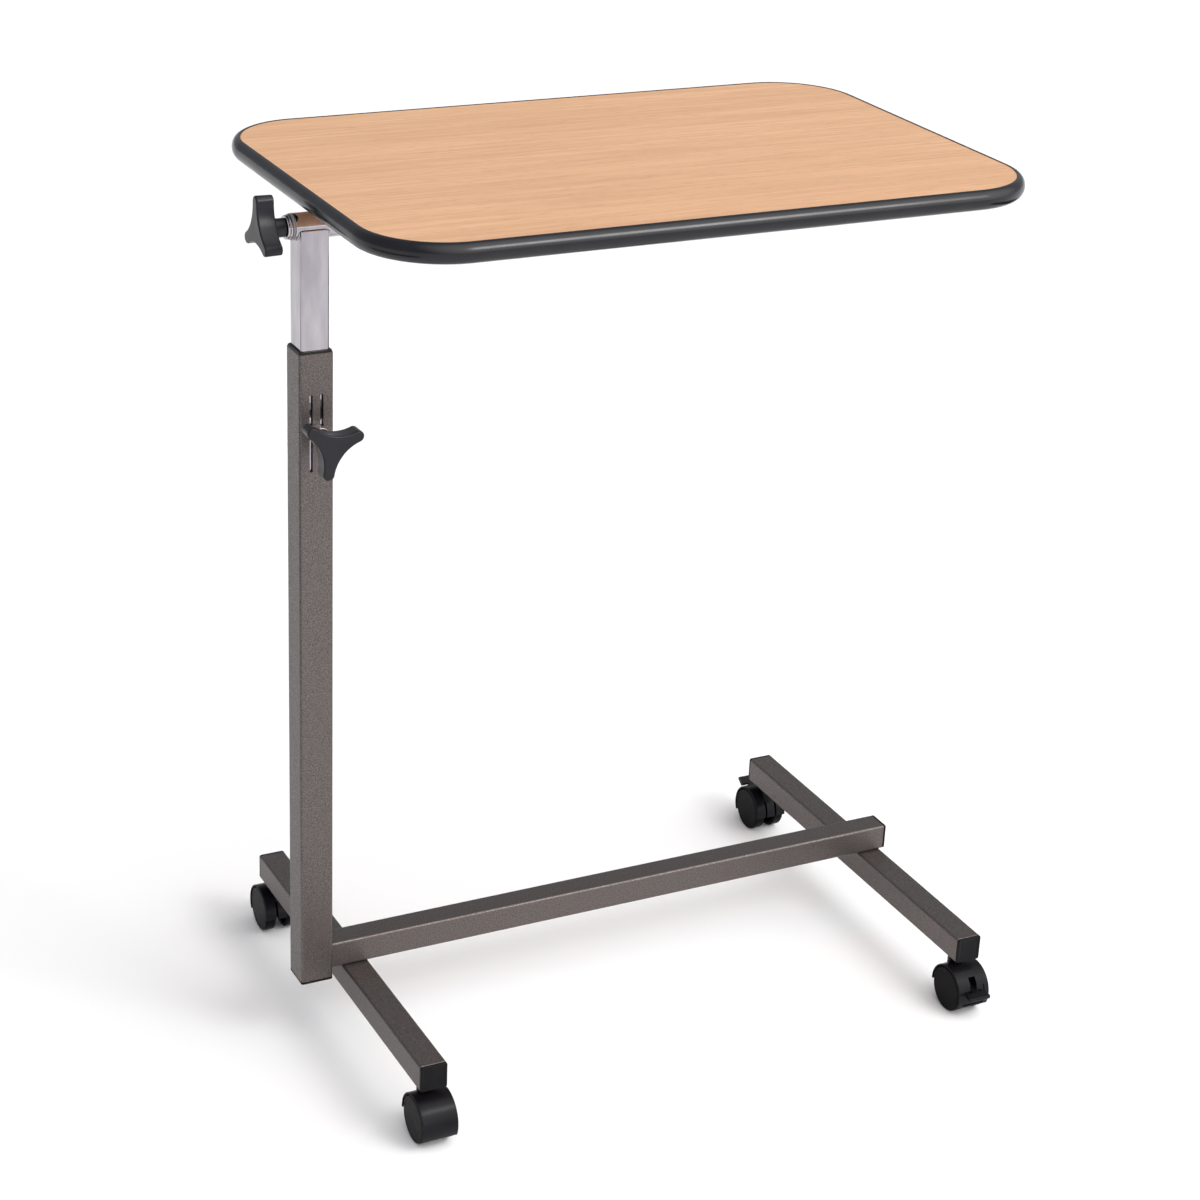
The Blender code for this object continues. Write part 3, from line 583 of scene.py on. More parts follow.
def moulded_plastic(dark, pale, roughness, gloss, grain_height):
    """Moulded plastic: a fine grain, with paler and smoother patches from handling."""
    material, tree, shader = new_finish("moulded_plastic", roughness, Specular_IOR_Level=gloss)
    grain = noise(tree, 1500, detail=2)
    patches = noise(tree, 45, detail=3)
    base = blended(tree, spread(tree, patches, 0.35, 0.72), dark, pale)
    tree.links.new(base, shader.inputs["Base Color"])
    smooth = spread(tree, patches, 0.3, 0.7, roughness + 0.04, roughness - 0.05)
    tree.links.new(smooth, shader.inputs["Roughness"])
    bumped(tree, shader, grain, grain_height, 0.5)
    return material


def zinc_steel():
    """Zinc plate: cool grey with a faint warm passivation and turning marks."""
    material, tree, shader = new_finish("zinc_steel", 0.3, 1.0)
    cloud = noise(tree, 120, detail=4)
    marks = noise(tree, 1500, detail=2, stretch=(1, 0.15, 0.15))
    base = blended(tree, spread(tree, cloud, 0.35, 0.7), (0.5, 0.51, 0.53), (0.62, 0.6, 0.52))
    tree.links.new(base, shader.inputs["Base Color"])
    tree.links.new(spread(tree, marks, 0.3, 0.7, 0.24, 0.4), shader.inputs["Roughness"])
    bumped(tree, shader, marks, 0.02 * mm, 0.3)
    return material


def make_finishes():
    """Finishes by slot, with two looks more that stand in for a slot's on some pieces."""
    return {
        "frame_paint": frame_paint(),
        "chrome": chrome(),
        "wood_laminate": wood_laminate(),
        "zinc_steel": zinc_steel(),
        **{name: moulded_plastic(*values) for name, values in PLASTICS.items()},
    }


# Pieces


def box_of(node):
    """A CAD node's lowest and highest corners, and its middle."""
    low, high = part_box(node)
    return low, high, (low + high) / 2


def new_piece(name, mesh, slot, body, look=None):
    """A piece that rides on a body, finished as its slot says or with another look."""
    piece = bpy.data.objects.new(name, mesh)
    bpy.context.collection.objects.link(piece)
    mesh.name = name
    mesh.materials.clear()
    mesh.materials.append(finishes[look or slot])
    mesh.shade_smooth()
    mesh.set_sharp_from_angle(angle=math.radians(SMOOTH_ANGLE))
    even = piece.modifiers.new("even shading", "WEIGHTED_NORMAL")
    even.keep_sharp = True
    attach(piece, body)
    return piece


def remake(node, mesh, slot, place=(0, 0, 0), look=None):
    """A finer piece that stands for a CAD node and rides on the same body."""
    body = frame["nodes"][node]["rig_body"]
    piece = new_piece("fine_" + node, moved(mesh, place), slot, body, look)
    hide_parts(node)


# Base frame and column


def square_tube(side, start, end, axis):
    half = side / 2
    outer = rounded_rectangle(half, half, TUBE_CORNER)
    rim = rounded_rectangle(half - TUBE_EASE, half - TUBE_EASE, TUBE_CORNER - TUBE_EASE)
    inner = rounded_rectangle(half - TUBE_WALL, half - TUBE_WALL, TUBE_CORNER - TUBE_WALL)
    sections = [
        (rim, start),
        (outer, start + TUBE_EASE),
        (outer, end - TUBE_EASE),
        (rim, end),
        (inner, end),
        (inner, start),
    ]
    return loft(sections, axis, closed=True)


def tube_in_box(node, axis):
    """A square tube that fills a CAD tube's box."""
    low, high, middle = box_of(node)
    along = "XYZ".index(axis)
    across = (along + 1) % 3
    tube = square_tube(high[across] - low[across], low[along], high[along], axis)
    middle[along] = 0
    return moved(tube, middle)


def tube_cap(side, axis, direction, depth):
    """A push-in cap: a flange with a sunk square field, and a hollow plug behind it."""
    half = side / 2
    plug_half = half - TUBE_WALL - FIT
    plug = rounded_rectangle(plug_half, plug_half, PLUG_CORNER)
    pocket = rounded_rectangle(plug_half - TUBE_WALL, plug_half - TUBE_WALL, PLUG_CORNER)

    def square(inset):
        corner = max(TUBE_CORNER - inset, CAP_LEAST_CORNER)
        return rounded_rectangle(half - inset, half - inset, corner)

    sections = [
        (square(CAP_LIP + CAP_FIELD_INSET), CAP_THICKNESS - CAP_FIELD_DEPTH),
        (square(CAP_LIP + CAP_LIP_SLOPE), CAP_THICKNESS - CAP_FIELD_DEPTH),
        (square(CAP_LIP), CAP_THICKNESS),
    ]
    for step in range(5):
        angle = math.radians(90 * step / 4)
        inset = CAP_EDGE * (1 - math.sin(angle))
        sections.append((square(inset), CAP_THICKNESS - CAP_EDGE * (1 - math.cos(angle))))
    sections += [(square(0), FIT), (plug, FIT), (plug, -depth), (pocket, -depth), (pocket, FIT)]
    return loft([(outline, direction * w) for outline, w in sections], axis)


def build_cap(node, axis, direction):
    low, high, middle = box_of(node)
    along = "XYZ".index(axis)
    across = (along + 1) % 3
    face = high[along] if direction > 0 else low[along]
    depth = high[along] - low[along] - CAP_THICKNESS
    middle[along] = face - direction * CAP_THICKNESS
    cap = tube_cap(high[across] - low[across], axis, direction, depth)
    remake(node, cap, "cap_plastic", middle)


def weld_bead(path, radius):
    """A painted or plated weld: a thin tube along the path, swollen where the puddles overlap."""
    rings = []
    points = [Vector(point) for point in path]
    bm = bmesh.new()
    for i, point in enumerate(points):
        ahead = points[min(i + 1, len(points) - 1)] - points[max(i - 1, 0)]
        turn = ahead.to_track_quat("Z", "Y").to_matrix()
        ripple = 1 + BEAD_RIPPLE * math.cos(i * math.pi / 2)
        taper = BEAD_END_SHARE if i in (0, len(points) - 1) else 1
        ring = []
        for side in range(BEAD_SIDES):
            angle = 2 * math.pi * side / BEAD_SIDES
            offset = Vector((math.cos(angle), math.sin(angle), 0)) * radius * ripple * taper
            ring.append(bm.verts.new(point + turn @ offset))
        rings.append(ring)
    for ring, after in zip(rings, rings[1:]):
        for side in range(BEAD_SIDES):
            other = (side + 1) % BEAD_SIDES
            bm.faces.new((ring[side], ring[other], after[other], after[side]))
    bm.faces.new(rings[0])
    bm.faces.new(rings[-1])
    return finished(bm)


def between(start, end, count):
    """Evenly spaced points on a straight line, both ends included."""
    return [Vector(start).lerp(Vector(end), i / (count - 1)) for i in range(count)]


def build_base():
    for side in ("left", "right"):
        holes = []
        for row in ("front", "rear"):
            middle = box_of(f"castor_nut_{row}_{side}")[2]
            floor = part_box(f"foot_{side}")[0].z
            hole = turned([(BORE_RADIUS, floor - mm), (BORE_RADIUS, floor + WALL_CUT_DEPTH)])
            holes.append(moved(hole, (middle.x, middle.y, 0)))
            build_cap(f"foot_cap_{row}_{side}", "Y", -1 if row == "front" else 1)
        remake(f"foot_{side}", cut(tube_in_box(f"foot_{side}", "Y"), *holes), "frame_paint")
    remake("base_bar", tube_in_box("base_bar", "X"), "frame_paint")
    build_cap("bar_end_cap", "X", 1)
    build_cap("column_bottom_cap", "Z", -1)


def build_base_welds():
    """Beads in the grooves between the bar, the feet below it and the column."""
    bar_low, bar_high, bar_middle = box_of("base_bar")
    half = bar_high.y - bar_middle.y - TUBE_CORNER
    for side in ("left", "right"):
        foot_low, foot_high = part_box(f"foot_{side}")
        z = bar_low.z - FOOT_BEAD_BELOW
        edges = (("a", foot_low.x + FOOT_BEAD_INWARD), ("b", foot_high.x - FOOT_BEAD_INWARD))
        for label, x in edges:
            path = between((x, bar_middle.y - half, z), (x, bar_middle.y + half, z), 25)
            bead = weld_bead(path, FOOT_BEAD)
            new_piece(f"weld_foot_{side}_{label}", bead, "frame_paint", "base")
    outline = rounded_rectangle(half + TUBE_CORNER, half + TUBE_CORNER, TUBE_CORNER, steps=6)
    x = bar_low.x - BAR_BEAD_OUTWARD
    loop = [(x, bar_middle.y + u, bar_middle.z + v) for u, v in outline]
    path = []
    for here, after in zip(loop, loop[1:] + loop[:1]):
        steps = max(2, round((Vector(after) - Vector(here)).length / BAR_BEAD_STEP))
        path += between(here, after, steps + 1)[:-1]
    bead = weld_bead(path, BAR_BEAD)
    new_piece("weld_bar_column", bead, "frame_paint", "base")


def build_column():
    column_low, column_high, middle = box_of("column_tube")
    knob_z = box_of("clamp_boss")[2].z
    front = column_low.y
    bore = turned([(BORE_RADIUS, -mm), (BORE_RADIUS, WALL_CUT_DEPTH)], "Y")
    cutters = [moved(bore, (middle.x, front, knob_z))]
    slit = rounded_rectangle(SLIT_WIDTH / 2, (SLIT_ABOVE + SLIT_BELOW) / 2, SLIT_END_RADIUS)
    slit_z = knob_z + (SLIT_ABOVE - SLIT_BELOW) / 2
    for side in (-1, 1):
        cutter = prism(slit, front - mm, front + WALL_CUT_DEPTH, "Y")
        cutters.append(moved(cutter, (middle.x + side * SLIT_OFFSET, 0, slit_z)))
    column = cut(tube_in_box("column_tube", "Z"), *cutters)
    remake("column_tube", column, "frame_paint")

    low, high, middle = box_of("column_guide_bush")
    mast_low, mast_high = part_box("mast_tube")
    mast_half = (mast_high.x - mast_low.x) / 2 + SLIDING_FIT
    body_half = (column_high.x - column_low.x) / 2 - TUBE_WALL - SLIDING_FIT
    rim_half = (high.x - low.x) / 2
    top_half = rim_half - BUSH_RIM_EDGE
    bore = rounded_rectangle(mast_half, mast_half, TUBE_CORNER)
    body = rounded_rectangle(body_half, body_half, PLUG_CORNER)
    rim = rounded_rectangle(rim_half, rim_half, TUBE_CORNER)
    rim_top = rounded_rectangle(top_half, top_half, TUBE_CORNER)
    rim_bottom = column_high.z + FIT
    sections = [
        (bore, low.z),
        (bore, high.z),
        (rim_top, high.z),
        (rim, high.z - BUSH_RIM_EDGE),
        (rim, rim_bottom),
        (body, rim_bottom),
        (body, low.z),
    ]
    bush = loft(sections, "Z", closed=True)
    remake("column_guide_bush", bush, "nylon", (middle.x, middle.y, 0))


# Clamp knobs


def knob_mesh(lobe_angle, hub_length, axis):
    """A knob whose face is at 0: rounded edges, drafted flanks and a hub in a shallow recess."""
    sections = []
    for step in range(7):
        angle = math.radians(90 * step / 6)
        inset = KNOB_FRONT_EDGE * (1 - math.sin(angle))
        depth = KNOB_FRONT_EDGE * (1 - math.cos(angle))
        sections.append((knob_outline(lobe_angle, inset), depth))
    for step in range(5):
        angle = math.radians(90 * step / 4)
        inset = KNOB_DRAFT + KNOB_BACK_EDGE * (1 - math.cos(angle))
        depth = KNOB_DEPTH - KNOB_BACK_EDGE * (1 - math.sin(angle))
        sections.append((knob_outline(lobe_angle, inset), depth))
    recess = KNOB_DEPTH - KNOB_RECESS
    inner = knob_outline(lobe_angle, KNOB_RIM + KNOB_RECESS_SLOPE)
    hub_end = KNOB_DEPTH + hub_length
    sections += [
        (knob_outline(lobe_angle, KNOB_RIM), KNOB_DEPTH),
        (inner, recess),
        (on_circle(inner, KNOB_HUB_RADIUS), recess),
        (on_circle(inner, KNOB_HUB_RADIUS), hub_end - KNOB_HUB_EDGE),
        (on_circle(inner, KNOB_HUB_RADIUS - KNOB_HUB_EDGE), hub_end),
        (on_circle(inner, BORE_RADIUS + KNOB_BORE_EDGE), hub_end),
        (on_circle(inner, BORE_RADIUS), hub_end - KNOB_BORE_EDGE),
        (on_circle(inner, BORE_RADIUS), KNOB_DEPTH - KNOB_POCKET),
    ]
    return loft(sections, axis)


def build_height_clamp():
    low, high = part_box("height_knob")
    axis = box_of("height_knob_stud")[2]
    knob = knob_mesh(HEIGHT_KNOB_ANGLE, high.y - low.y - KNOB_DEPTH, "Y")
    remake("height_knob", knob, "knob_plastic", (axis.x, low.y, axis.z))
    low, high, middle = box_of("clamp_boss")
    radius = (high.x - low.x) / 2
    profile = [(BORE_RADIUS, low.y), (radius, low.y), (radius, high.y), (BORE_RADIUS, high.y)]
    boss = turned(softened(profile, BOSS_EDGE), "Y", closed=True)
    remake("clamp_boss", boss, "zinc_steel", (middle.x, 0, middle.z))


def build_tilt_clamp():
    low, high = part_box("tilt_knob")
    axis = box_of("tilt_knob_stud")[2]
    knob = knob_mesh(TILT_KNOB_ANGLE, high.x - low.x - KNOB_DEPTH, "X")
    remake("tilt_knob", knob, "knob_plastic", (low.x, axis.y, axis.z))
    low, high, middle = box_of("tilt_collar")
    radius = (high.y - low.y) / 2
    groove = low.x + 0.5 * (high.x - low.x)
    profile = [
        (BORE_RADIUS, low.x),
        (radius - COLLAR_STEP, low.x),
        (radius - COLLAR_STEP, groove - COLLAR_GROOVE_HALF),
        (radius - COLLAR_GROOVE_DEPTH, groove - COLLAR_GROOVE_HALF),
        (radius - COLLAR_GROOVE_DEPTH, groove + COLLAR_GROOVE_HALF),
        (radius, groove + COLLAR_GROOVE_HALF),
        (radius, high.x),
        (BORE_RADIUS, high.x),
    ]
    collar = turned(softened(profile, COLLAR_EDGE), "X", closed=True, segments=72)
    remake("tilt_collar", collar, "chrome", (0, middle.y, middle.z))


# Mast and tilting joint


def build_mast():
    low, high, middle = box_of("tilt_sleeve")
    radius = (high.z - low.z) / 2
    mast_low, mast_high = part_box("mast_tube")
    seat = turned([(radius + FIT, mast_low.x - mm), (radius + FIT, mast_high.x + mm)], "X")
    tube = cut(tube_in_box("mast_tube", "Z"), moved(seat, (0, middle.y, middle.z)))
    remake("mast_tube", tube, "chrome")

    bore = radius - SLEEVE_WALL
    profile = [(radius, low.x), (radius, high.x), (bore, high.x), (bore, low.x)]
    sleeve = turned(softened(profile, SLEEVE_EDGE), "X", closed=True, segments=96)
    remake("tilt_sleeve", sleeve, "chrome", (0, middle.y, middle.z))

    for label, side in (("left", -1), ("right", 1)):
        node = f"tilt_bush_{label}"
        edge = low.x if side < 0 else high.x
        bush_low, bush_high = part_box(node)
        inner_end = bush_high.x if side < 0 else bush_low.x
        flange = edge + side * (BUSH_FLANGE + FIT)
        profile = [
            (SHAFT_RADIUS + SLIDING_FIT, flange),
            (radius - SLIDING_FIT, flange),
            (radius - SLIDING_FIT, edge + side * FIT),
            (bore - SLIDING_FIT, edge + side * FIT),
            (bore - SLIDING_FIT, inner_end),
            (SHAFT_RADIUS + SLIDING_FIT, inner_end),
        ]
        bush = turned(softened(profile, BUSH_EDGE, steps=3), "X", closed=True)
        remake(node, bush, "nylon", (0, middle.y, middle.z), "pale_nylon")
    build_mast_welds(middle, radius, mast_low, mast_high)


def build_mast_welds(axis, radius, mast_low, mast_high):
    """Plated beads where the sleeve sits in the mast's end."""
    reach = radius + SLEEVE_BEAD_OUTWARD
    for label, x in (("left", mast_low.x), ("right", mast_high.x)):
        for row, side in (("front", -1), ("rear", 1)):
            path = []
            for step in range(17):
                angle = math.radians(SLEEVE_BEAD_START + SLEEVE_BEAD_SWEEP * step / 16)
                y = axis.y + side * reach * math.sin(angle)
                path.append((x, y, axis.z - reach * math.cos(angle)))
            bead = weld_bead(path, SLEEVE_BEAD)
            new_piece(f"weld_sleeve_{label}_{row}", bead, "chrome", "mast")
    start, end = mast_low.x + TUBE_CORNER, mast_high.x - TUBE_CORNER
    z = mast_high.z - LIP_BEAD_BELOW
    lips = (("front", mast_low.y + LIP_BEAD_INWARD), ("rear", mast_high.y - LIP_BEAD_INWARD))
    for label, y in lips:
        bead = weld_bead(between((start, y, z), (end, y, z), 29), LIP_BEAD)
        new_piece(f"weld_sleeve_{label}", bead, "chrome", "mast")


def build_shaft():
    low, high, middle = box_of("tilt_shaft")
    radius = SHAFT_RADIUS
    profile = [
        (BORE_RADIUS, low.x + SHAFT_BORE_DEPTH),
        (BORE_RADIUS, low.x),
        (radius - SHAFT_NEAR_EDGE, low.x),
        (radius, low.x + SHAFT_NEAR_EDGE),
        (radius, high.x - SHAFT_FAR_EDGE),
        (radius - SHAFT_FAR_EDGE, high.x),
    ]
    shaft = turned(profile, "X", segments=72)
    remake("tilt_shaft", shaft, "zinc_steel", (0, middle.y, middle.z))

    low, high, ring_middle = box_of("shaft_stop_ring")
    outer = (high.y - low.y) / 2
    profile = [(radius + FIT, low.x), (outer, low.x), (outer, high.x), (radius + FIT, high.x)]
    ring = turned(softened(profile, STOP_RING_EDGE), "X", closed=True, segments=72)
    hole_profile = [(STOP_RING_SCREW_RADIUS, 0), (STOP_RING_SCREW_RADIUS, 2 * outer)]
    screw_hole = turned(hole_profile, segments=24)
    ring = cut(ring, moved(screw_hole, (ring_middle.x, 0, -2 * outer)))
    remake("shaft_stop_ring", ring, "zinc_steel", (0, middle.y, middle.z))


def saddle_outline(flange_top, half_span):
    """A strap bent round the shaft's underside, with a flange on each side."""
    flange_bottom = flange_top - SADDLE_THICKNESS
    inner = SHAFT_RADIUS + FIT
    outer = inner + SADDLE_THICKNESS
    points = [(half_span, flange_bottom), (half_span, flange_top), (inner, flange_top)]
    points += arc((0, 0), inner, 0, -180, 32)
    points += [(-inner, flange_top), (-half_span, flange_top), (-half_span, flange_bottom)]
    points += [(-outer, flange_bottom)]
    points += arc((0, 0), outer, -180, 0, 32)
    points += [(outer, flange_bottom)]
    return points


def screw_mesh(low, high, head_radius):
    """A pan-head screw with its head down, a cross recess and a pointed end."""
    profile = []
    for step in range(7):
        angle = math.radians(90 * step / 6)
        share = SCREW_DOME_START + (1 - SCREW_DOME_START) * math.sin(angle)
        rise = SCREW_HEAD * SCREW_DOME_HEIGHT * (1 - math.cos(angle))
        profile.append((head_radius * share, low + rise))
    profile += [
        (head_radius, low + SCREW_HEAD),
        (SCREW_SHANK, low + SCREW_HEAD),
        (SCREW_SHANK, high - SCREW_POINT),
        (SCREW_TIP_RADIUS, high),
    ]
    screw = turned(profile, segments=32)
    cross = []
    for u, v in ((CROSS_REACH, CROSS_HALF_WIDTH), (CROSS_HALF_WIDTH, CROSS_REACH)):
        cross.append(block((-u, -v, low - mm), (u, v, low + CROSS_DEPTH)))
    return cut(screw, *cross)


def build_saddles():
    axis = box_of("tilt_shaft")[2]
    for label in ("left", "right"):
        low, high, middle = box_of(f"shaft_saddle_{label}")
        outline = saddle_outline(high.z - axis.z, (high.y - low.y) / 2)
        strap = prism(outline, low.x, high.x, "X")
        holes = []
        for row in ("front", "rear"):
            node = f"saddle_screw_{row}_{label}"
            screw_low, screw_high, screw_middle = box_of(node)
            hole = turned([(SCREW_HOLE, -SADDLE_CUT), (SCREW_HOLE, SADDLE_CUT)], segments=32)
            holes.append(moved(hole, (middle.x, screw_middle.y - axis.y, high.z - axis.z)))
            head_radius = (screw_high.x - screw_low.x) / 2
            screw = screw_mesh(screw_low.z, screw_high.z, head_radius)
            remake(node, screw, "zinc_steel", (screw_middle.x, screw_middle.y, 0))
        strap = eased(cut(strap, *holes), SADDLE_EDGE)
        remake(f"shaft_saddle_{label}", strap, "zinc_steel", (0, axis.y, axis.z))


# Table top


def top_outline(inset):
    """The outline of the whole top, edge moulding included, drawn in by the inset."""
    low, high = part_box("edge_moulding")
    half_x = (high.x - low.x) / 2 - inset
    half_y = (high.y - low.y) / 2 - inset
    return rounded_rectangle(half_x, half_y, TOP_CORNER_RADIUS - inset, steps=28)


def build_top():
    low, high, middle = box_of("top_panel")
    half = (high.z - low.z) / 2
    edge = EDGE_BULGE + EDGE_GAP
    groove = EDGE_BULGE + EDGE_TONGUE + 2 * FIT
    groove_half = EDGE_TONGUE_HALF + FIT
    sections = [
        (top_outline(edge + BOARD_EASE), -half),
        (top_outline(edge), BOARD_EASE - half),
        (top_outline(edge), -groove_half),
        (top_outline(groove), -groove_half),
        (top_outline(groove), groove_half),
        (top_outline(edge), groove_half),
        (top_outline(edge), half - BOARD_EASE),
        (top_outline(edge + BOARD_EASE), half),
    ]
    board = loft(sections)
    holes = []
    for label in ("left", "right"):
        for row in ("front", "rear"):
            screw = box_of(f"saddle_screw_{row}_{label}")[2] - middle
            depths = (-half - mm, BOARD_HOLE_DEPTH - half)
            hole = turned([(SCREW_HOLE, depth) for depth in depths], segments=24)
            holes.append(moved(hole, (screw.x, screw.y, 0)))
    remake("top_panel", cut(board, *holes), "wood_laminate", middle)

    edge_low, edge_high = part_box("edge_moulding")
    lip = (edge_high.z - edge_low.z) / 2
    sections = []
    for step in range(25):
        angle = math.radians(90 - 180 * step / 24)
        outline = top_outline(EDGE_BULGE * (1 - math.cos(angle)))
        sections.append((outline, lip * math.sin(angle)))
    tongue = top_outline(EDGE_BULGE + EDGE_TONGUE)
    back = top_outline(EDGE_BULGE)
    sections += [(back, -EDGE_TONGUE_HALF), (tongue, -EDGE_TONGUE_HALF)]
    sections += [(tongue, EDGE_TONGUE_HALF), (back, EDGE_TONGUE_HALF)]
    moulding = loft(sections, closed=True)
    remake("edge_moulding", moulding, "edge_black", middle)


# Castors, built with the stem on the +Y side of the axle


def wheel_mesh(side):
    """One wheel: a plain disc outside, a rounded tread, and a hollow towards the web."""
    bore = AXLE_RADIUS + SLIDING_FIT
    profile = [
        (bore, WHEEL_BORE_END),
        (bore, WHEEL_INNER_X),
        (WHEEL_HUB_RADIUS, WHEEL_INNER_X),
        (WHEEL_HUB_RADIUS, WHEEL_HOLLOW_X),
        (WHEEL_HOLLOW_RADIUS, WHEEL_HOLLOW_X),
        (WHEEL_HOLLOW_RADIUS, WHEEL_INNER_X),
        (WHEEL_RADIUS - WHEEL_INNER_EDGE, WHEEL_INNER_X),
        (WHEEL_RADIUS, WHEEL_INNER_X + WHEEL_INNER_EDGE),
        *rolled_edge(WHEEL_RADIUS, WHEEL_OUTER_X - WHEEL_RIM_ROUND, WHEEL_RIM_ROUND),
        (WHEEL_GROOVE_RADIUS + WHEEL_GROOVE_DEPTH, WHEEL_OUTER_X),
        (WHEEL_GROOVE_RADIUS, WHEEL_OUTER_X - WHEEL_GROOVE_DEPTH),
        (WHEEL_GROOVE_RADIUS - WHEEL_FACE_STEP, WHEEL_OUTER_X - WHEEL_FACE_DEPTH),
    ]
    return turned([(radius, side * w) for radius, w in profile], "X", segments=80)


def hood_mesh(with_slot):
    """A shell over both wheels, with a web between them and a neck for the stem."""
    far = HOOD_CUTTER_REACH
    rim = rolled_edge(HOOD_RADIUS, HOOD_HALF_WIDTH - HOOD_ROUND, HOOD_ROUND)
    body = turned([(radius, -w) for radius, w in reversed(rim)] + rim, "X", segments=112)
    neck_profile = [
        (NECK_RADIUS, NECK_ROOT),
        (NECK_RADIUS, NECK_TOP - NECK_EDGE),
        (NECK_RADIUS - NECK_EDGE, NECK_TOP),
    ]
    steps = [("UNION", moved(turned(neck_profile), (0, CASTOR_TRAIL, 0)))]
    cutters = []
    for side in (-1, 1):
        hollow = [
            (HOOD_INNER_RADIUS, side * WEB_HALF_WIDTH),
            (HOOD_INNER_RADIUS, side * HOOD_FLARE_START),
            (HOOD_FLARE_RADIUS, side * (HOOD_FLARE_START + HOOD_FLARE_LENGTH)),
            (HOOD_FLARE_RADIUS, side * far),
        ]
        cutters.append(turned(hollow, "X", segments=112))
        near_x, far_x = sorted(side * x for x in WEB_POCKET_X)
        cutters.append(block((near_x, WEB_POCKET_START, -far), (far_x, far, WEB_POCKET_TOP)))
    cutters.append(block((-far, -far, -far), (far, far, HOOD_SKIRT)))
    cutters.append(block((-far, HOOD_REAR, -far), (far, far, HOOD_REAR_SKIRT)))
    stem = STEM_RADIUS + SLIDING_FIT
    stem_bore = turned([(stem, STEM_BORE_START), (stem, far)])
    cutters.append(moved(stem_bore, (0, CASTOR_TRAIL, 0)))
    axle = AXLE_RADIUS + AXLE_FIT
    cutters.append(turned([(axle, -far), (axle, far)], "X"))
    if with_slot:
        first = LEVER_RAISED - SLOT_MARGIN
        last = LEVER_PRESSED + SLOT_MARGIN
        sweep = arc(LEVER_PIVOT, SLOT_REACH, first, last, 24)
        hub = arc(LEVER_PIVOT, SLOT_HUB_RADIUS, last, first + 360, 24)
        cutters.append(prism(sweep + hub, -SLOT_HALF_WIDTH, SLOT_HALF_WIDTH, "X"))
        shallow = HOOD_RADIUS - RECESS_DEPTH
        band = arc((0, 0), shallow, RECESS_FIRST, RECESS_LAST, 24)
        band += arc((0, 0), far, RECESS_LAST, RECESS_FIRST, 24)
        cutters.append(prism(band, -RECESS_HALF_WIDTH, RECESS_HALF_WIDTH, "X"))
    steps += [("DIFFERENCE", cutter) for cutter in cutters]
    return eased(combined(body, *steps), HOOD_EDGE)


def lever_mesh(heading):
    """A brake lever about its pivot: a round hub, a narrow arm and a wide tab."""
    along = (math.cos(math.radians(heading)), math.sin(math.radians(heading)))
    across = (-along[1], along[0])

    def outline(near, far, half):
        corners = ((far, half), (near, half), (near, -half), (far, -half))
        return [(a * along[0] + b * across[0], a * along[1] + b * across[1]) for a, b in corners]

    hub_outline = [(LEVER_HUB_RADIUS, side * LEVER_HALF_WIDTH) for side in (-1, 1)]
    hub = turned(hub_outline, "X", segments=40)
    arm_outline = outline(0, LEVER_ARM_END, LEVER_ARM_HALF_HEIGHT)
    arm = prism(arm_outline, -LEVER_HALF_WIDTH, LEVER_HALF_WIDTH, "X")
    tab_outline = outline(LEVER_TAB_START, LEVER_TAB_END, LEVER_TAB_HALF_HEIGHT)
    tab_outline = softened(tab_outline, LEVER_TAB_ROUND)
    tab = prism(tab_outline, -LEVER_TAB_HALF_WIDTH, LEVER_TAB_HALF_WIDTH, "X")
    return eased(combined(hub, ("UNION", arm), ("UNION", tab)), LEVER_EDGE)


def build_castors():
    hoods = {"left": hood_mesh(with_slot=False), "right": hood_mesh(with_slot=True)}
    wheels = {"a": wheel_mesh(-1), "b": wheel_mesh(1)}
    half_turn = Matrix.Rotation(math.pi, 4, "Z")
    for row in ("front", "rear"):
        for side in ("left", "right"):
            label = f"{row}_{side}"
            axle = box_of(f"castor_axle_{label}")[2]
            turn = Matrix.Identity(4) if row == "front" else half_turn
            hood = hoods[side].copy()
            hood.transform(Matrix.Translation(axle) @ turn)
            remake(f"castor_hood_{label}", hood, "castor_plastic")
            for letter in ("a", "b"):
                wheel = wheels[letter].copy()
                node = f"castor_wheel_{label}_{letter}"
                remake(node, wheel, "castor_plastic", axle, "wheel_plastic")
    for label, heading in (("front_right", LEVER_PRESSED), ("rear_right", LEVER_RAISED)):
        axle = box_of(f"castor_axle_{label}")[2]
        turn = Matrix.Identity(4) if label == "front_right" else half_turn
        pivot = Matrix.Translation((0, LEVER_PIVOT[0], LEVER_PIVOT[1]))
        lever = lever_mesh(heading)
        lever.transform(Matrix.Translation(axle) @ turn @ pivot)
        remake(f"brake_lever_{label}", lever, "castor_plastic")


# Inner pieces that keep their CAD shape


def paint_kept_nodes():
    """Finish the CAD nodes that no piece stands for."""
    for name, node in frame["nodes"].items():
        if node.hide_render:
            continue
        plastic = name in ("clamp_pad", "mast_glide_plug")
        slot = "nylon" if plastic else "zinc_steel"
        node.data.materials.clear()
        node.data.materials.append(finishes[slot])


# Studio


def stage_material(name, grey, roughness):
    """A matt grey with very faint patches."""
    material, tree, shader = new_finish(name, roughness, Specular_IOR_Level=0.1)
    tone = noise(tree, 1.5, detail=2)
    darker = 0.985 * grey
    base = blended(tree, tone, (grey, grey, grey), (darker, darker, darker))
    tree.links.new(base, shader.inputs["Base Color"])
    return material


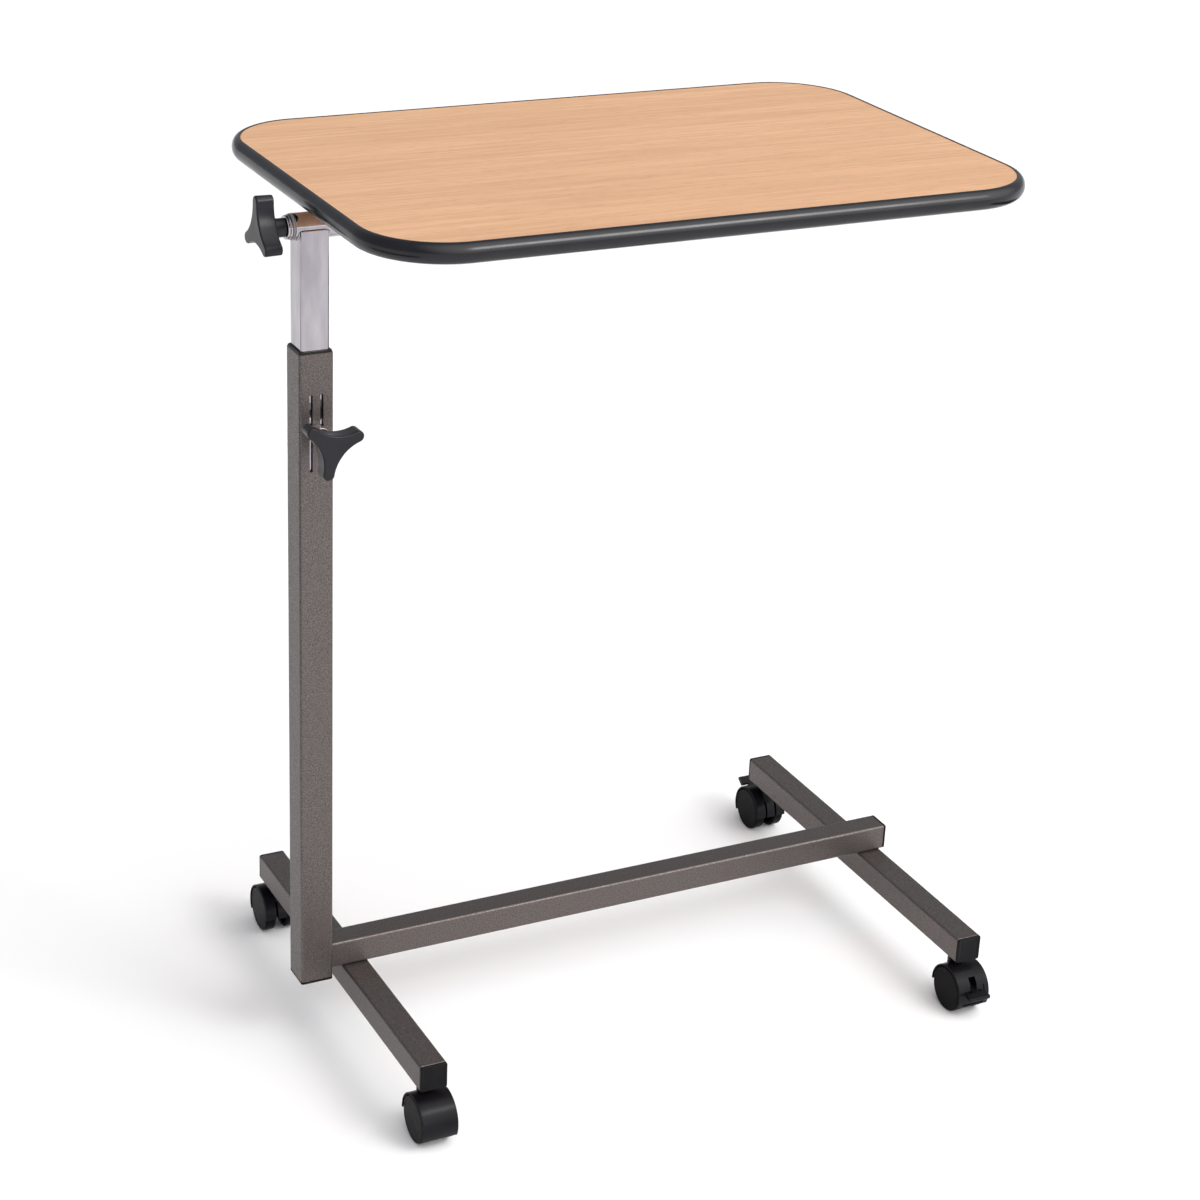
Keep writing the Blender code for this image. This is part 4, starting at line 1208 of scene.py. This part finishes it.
def build_stage():
    """A white paper floor, and two low dark flags that only the chrome's reflections show."""
    paper = stage_material("studio_paper", 0.95, 0.8)
    flag = stage_material("studio_flag", 0.03, 0.9)
    floor_mesh = prism(circle(FLOOR_REACH, 96), -FLOOR_DEPTH, -FLOOR_GAP)
    sheets = [("studio_floor", floor_mesh, paper)]
    for number, (place, heading, width, height) in enumerate(FLAGS):
        low = (-width / 2, -FLAG_HALF_DEPTH, 0)
        panel = block(low, (width / 2, FLAG_HALF_DEPTH, height))
        turn = Matrix.Rotation(math.radians(heading), 4, "Z")
        panel.transform(Matrix.Translation(place) @ turn)
        sheets.append((f"studio_flag_{number}", panel, flag))
    for name, mesh, material in sheets:
        sheet = bpy.data.objects.new(name, mesh)
        bpy.context.collection.objects.link(sheet)
        mesh.materials.append(material)
        if material == flag:
            sheet.visible_camera = False
            sheet.visible_diffuse = False
            sheet.visible_shadow = False


def build_sky():
    """A dim room with a wide soft light high at the front right, seen as plain pale paper."""
    world = bpy.data.worlds.new("studio")
    bpy.context.scene.world = world
    world.use_nodes = True
    tree = world.node_tree
    place = add_node(tree, "ShaderNodeTexCoord")
    towards = add_node(
        tree,
        "ShaderNodeVectorMath",
        {0: place.outputs["Generated"], 1: SKY_KEY},
        operation="DOT_PRODUCT",
    )
    lobe = spread(tree, towards.outputs["Value"], 0.45, 0.97)
    seen = add_node(tree, "ShaderNodeLightPath").outputs["Is Camera Ray"]
    room = blended(tree, seen, blended(tree, lobe, SKY_DIM, SKY_BRIGHT), SKY_SEEN)
    tree.links.new(room, tree.nodes["Background"].inputs["Color"])


def build_lamps():
    for name, place, aim, size, power in LAMPS:
        lamp = bpy.data.lights.new(name, "AREA")
        lamp.shape = "RECTANGLE"
        lamp.size, lamp.size_y = size
        lamp.energy = power
        light = bpy.data.objects.new(name, lamp)
        bpy.context.collection.objects.link(light)
        light.location = place
        towards = Vector(aim) - Vector(place)
        light.rotation_euler = towards.to_track_quat("-Z", "Y").to_euler()


def build_camera():
    data = bpy.data.cameras.new("camera")
    data.sensor_width = CAMERA_SENSOR
    data.lens = CAMERA_LENS
    camera = bpy.data.objects.new("camera", data)
    bpy.context.collection.objects.link(camera)
    yaw = Matrix.Rotation(math.radians(CAMERA_YAW), 4, "Z")
    pitch = Matrix.Rotation(math.radians(90 + CAMERA_PITCH), 4, "X")
    roll = Matrix.Rotation(math.radians(CAMERA_ROLL), 4, "Z")
    camera.matrix_world = Matrix.Translation(CAMERA_PLACE) @ yaw @ pitch @ roll
    bpy.context.scene.camera = camera


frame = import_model()

finishes = make_finishes()
build_base()
build_base_welds()
build_column()
build_height_clamp()
build_mast()
build_shaft()
build_saddles()
build_top()
build_tilt_clamp()
build_castors()
paint_kept_nodes()
build_stage()
build_sky()
build_lamps()
build_camera()
bpy.context.scene.view_settings.view_transform = "Standard"
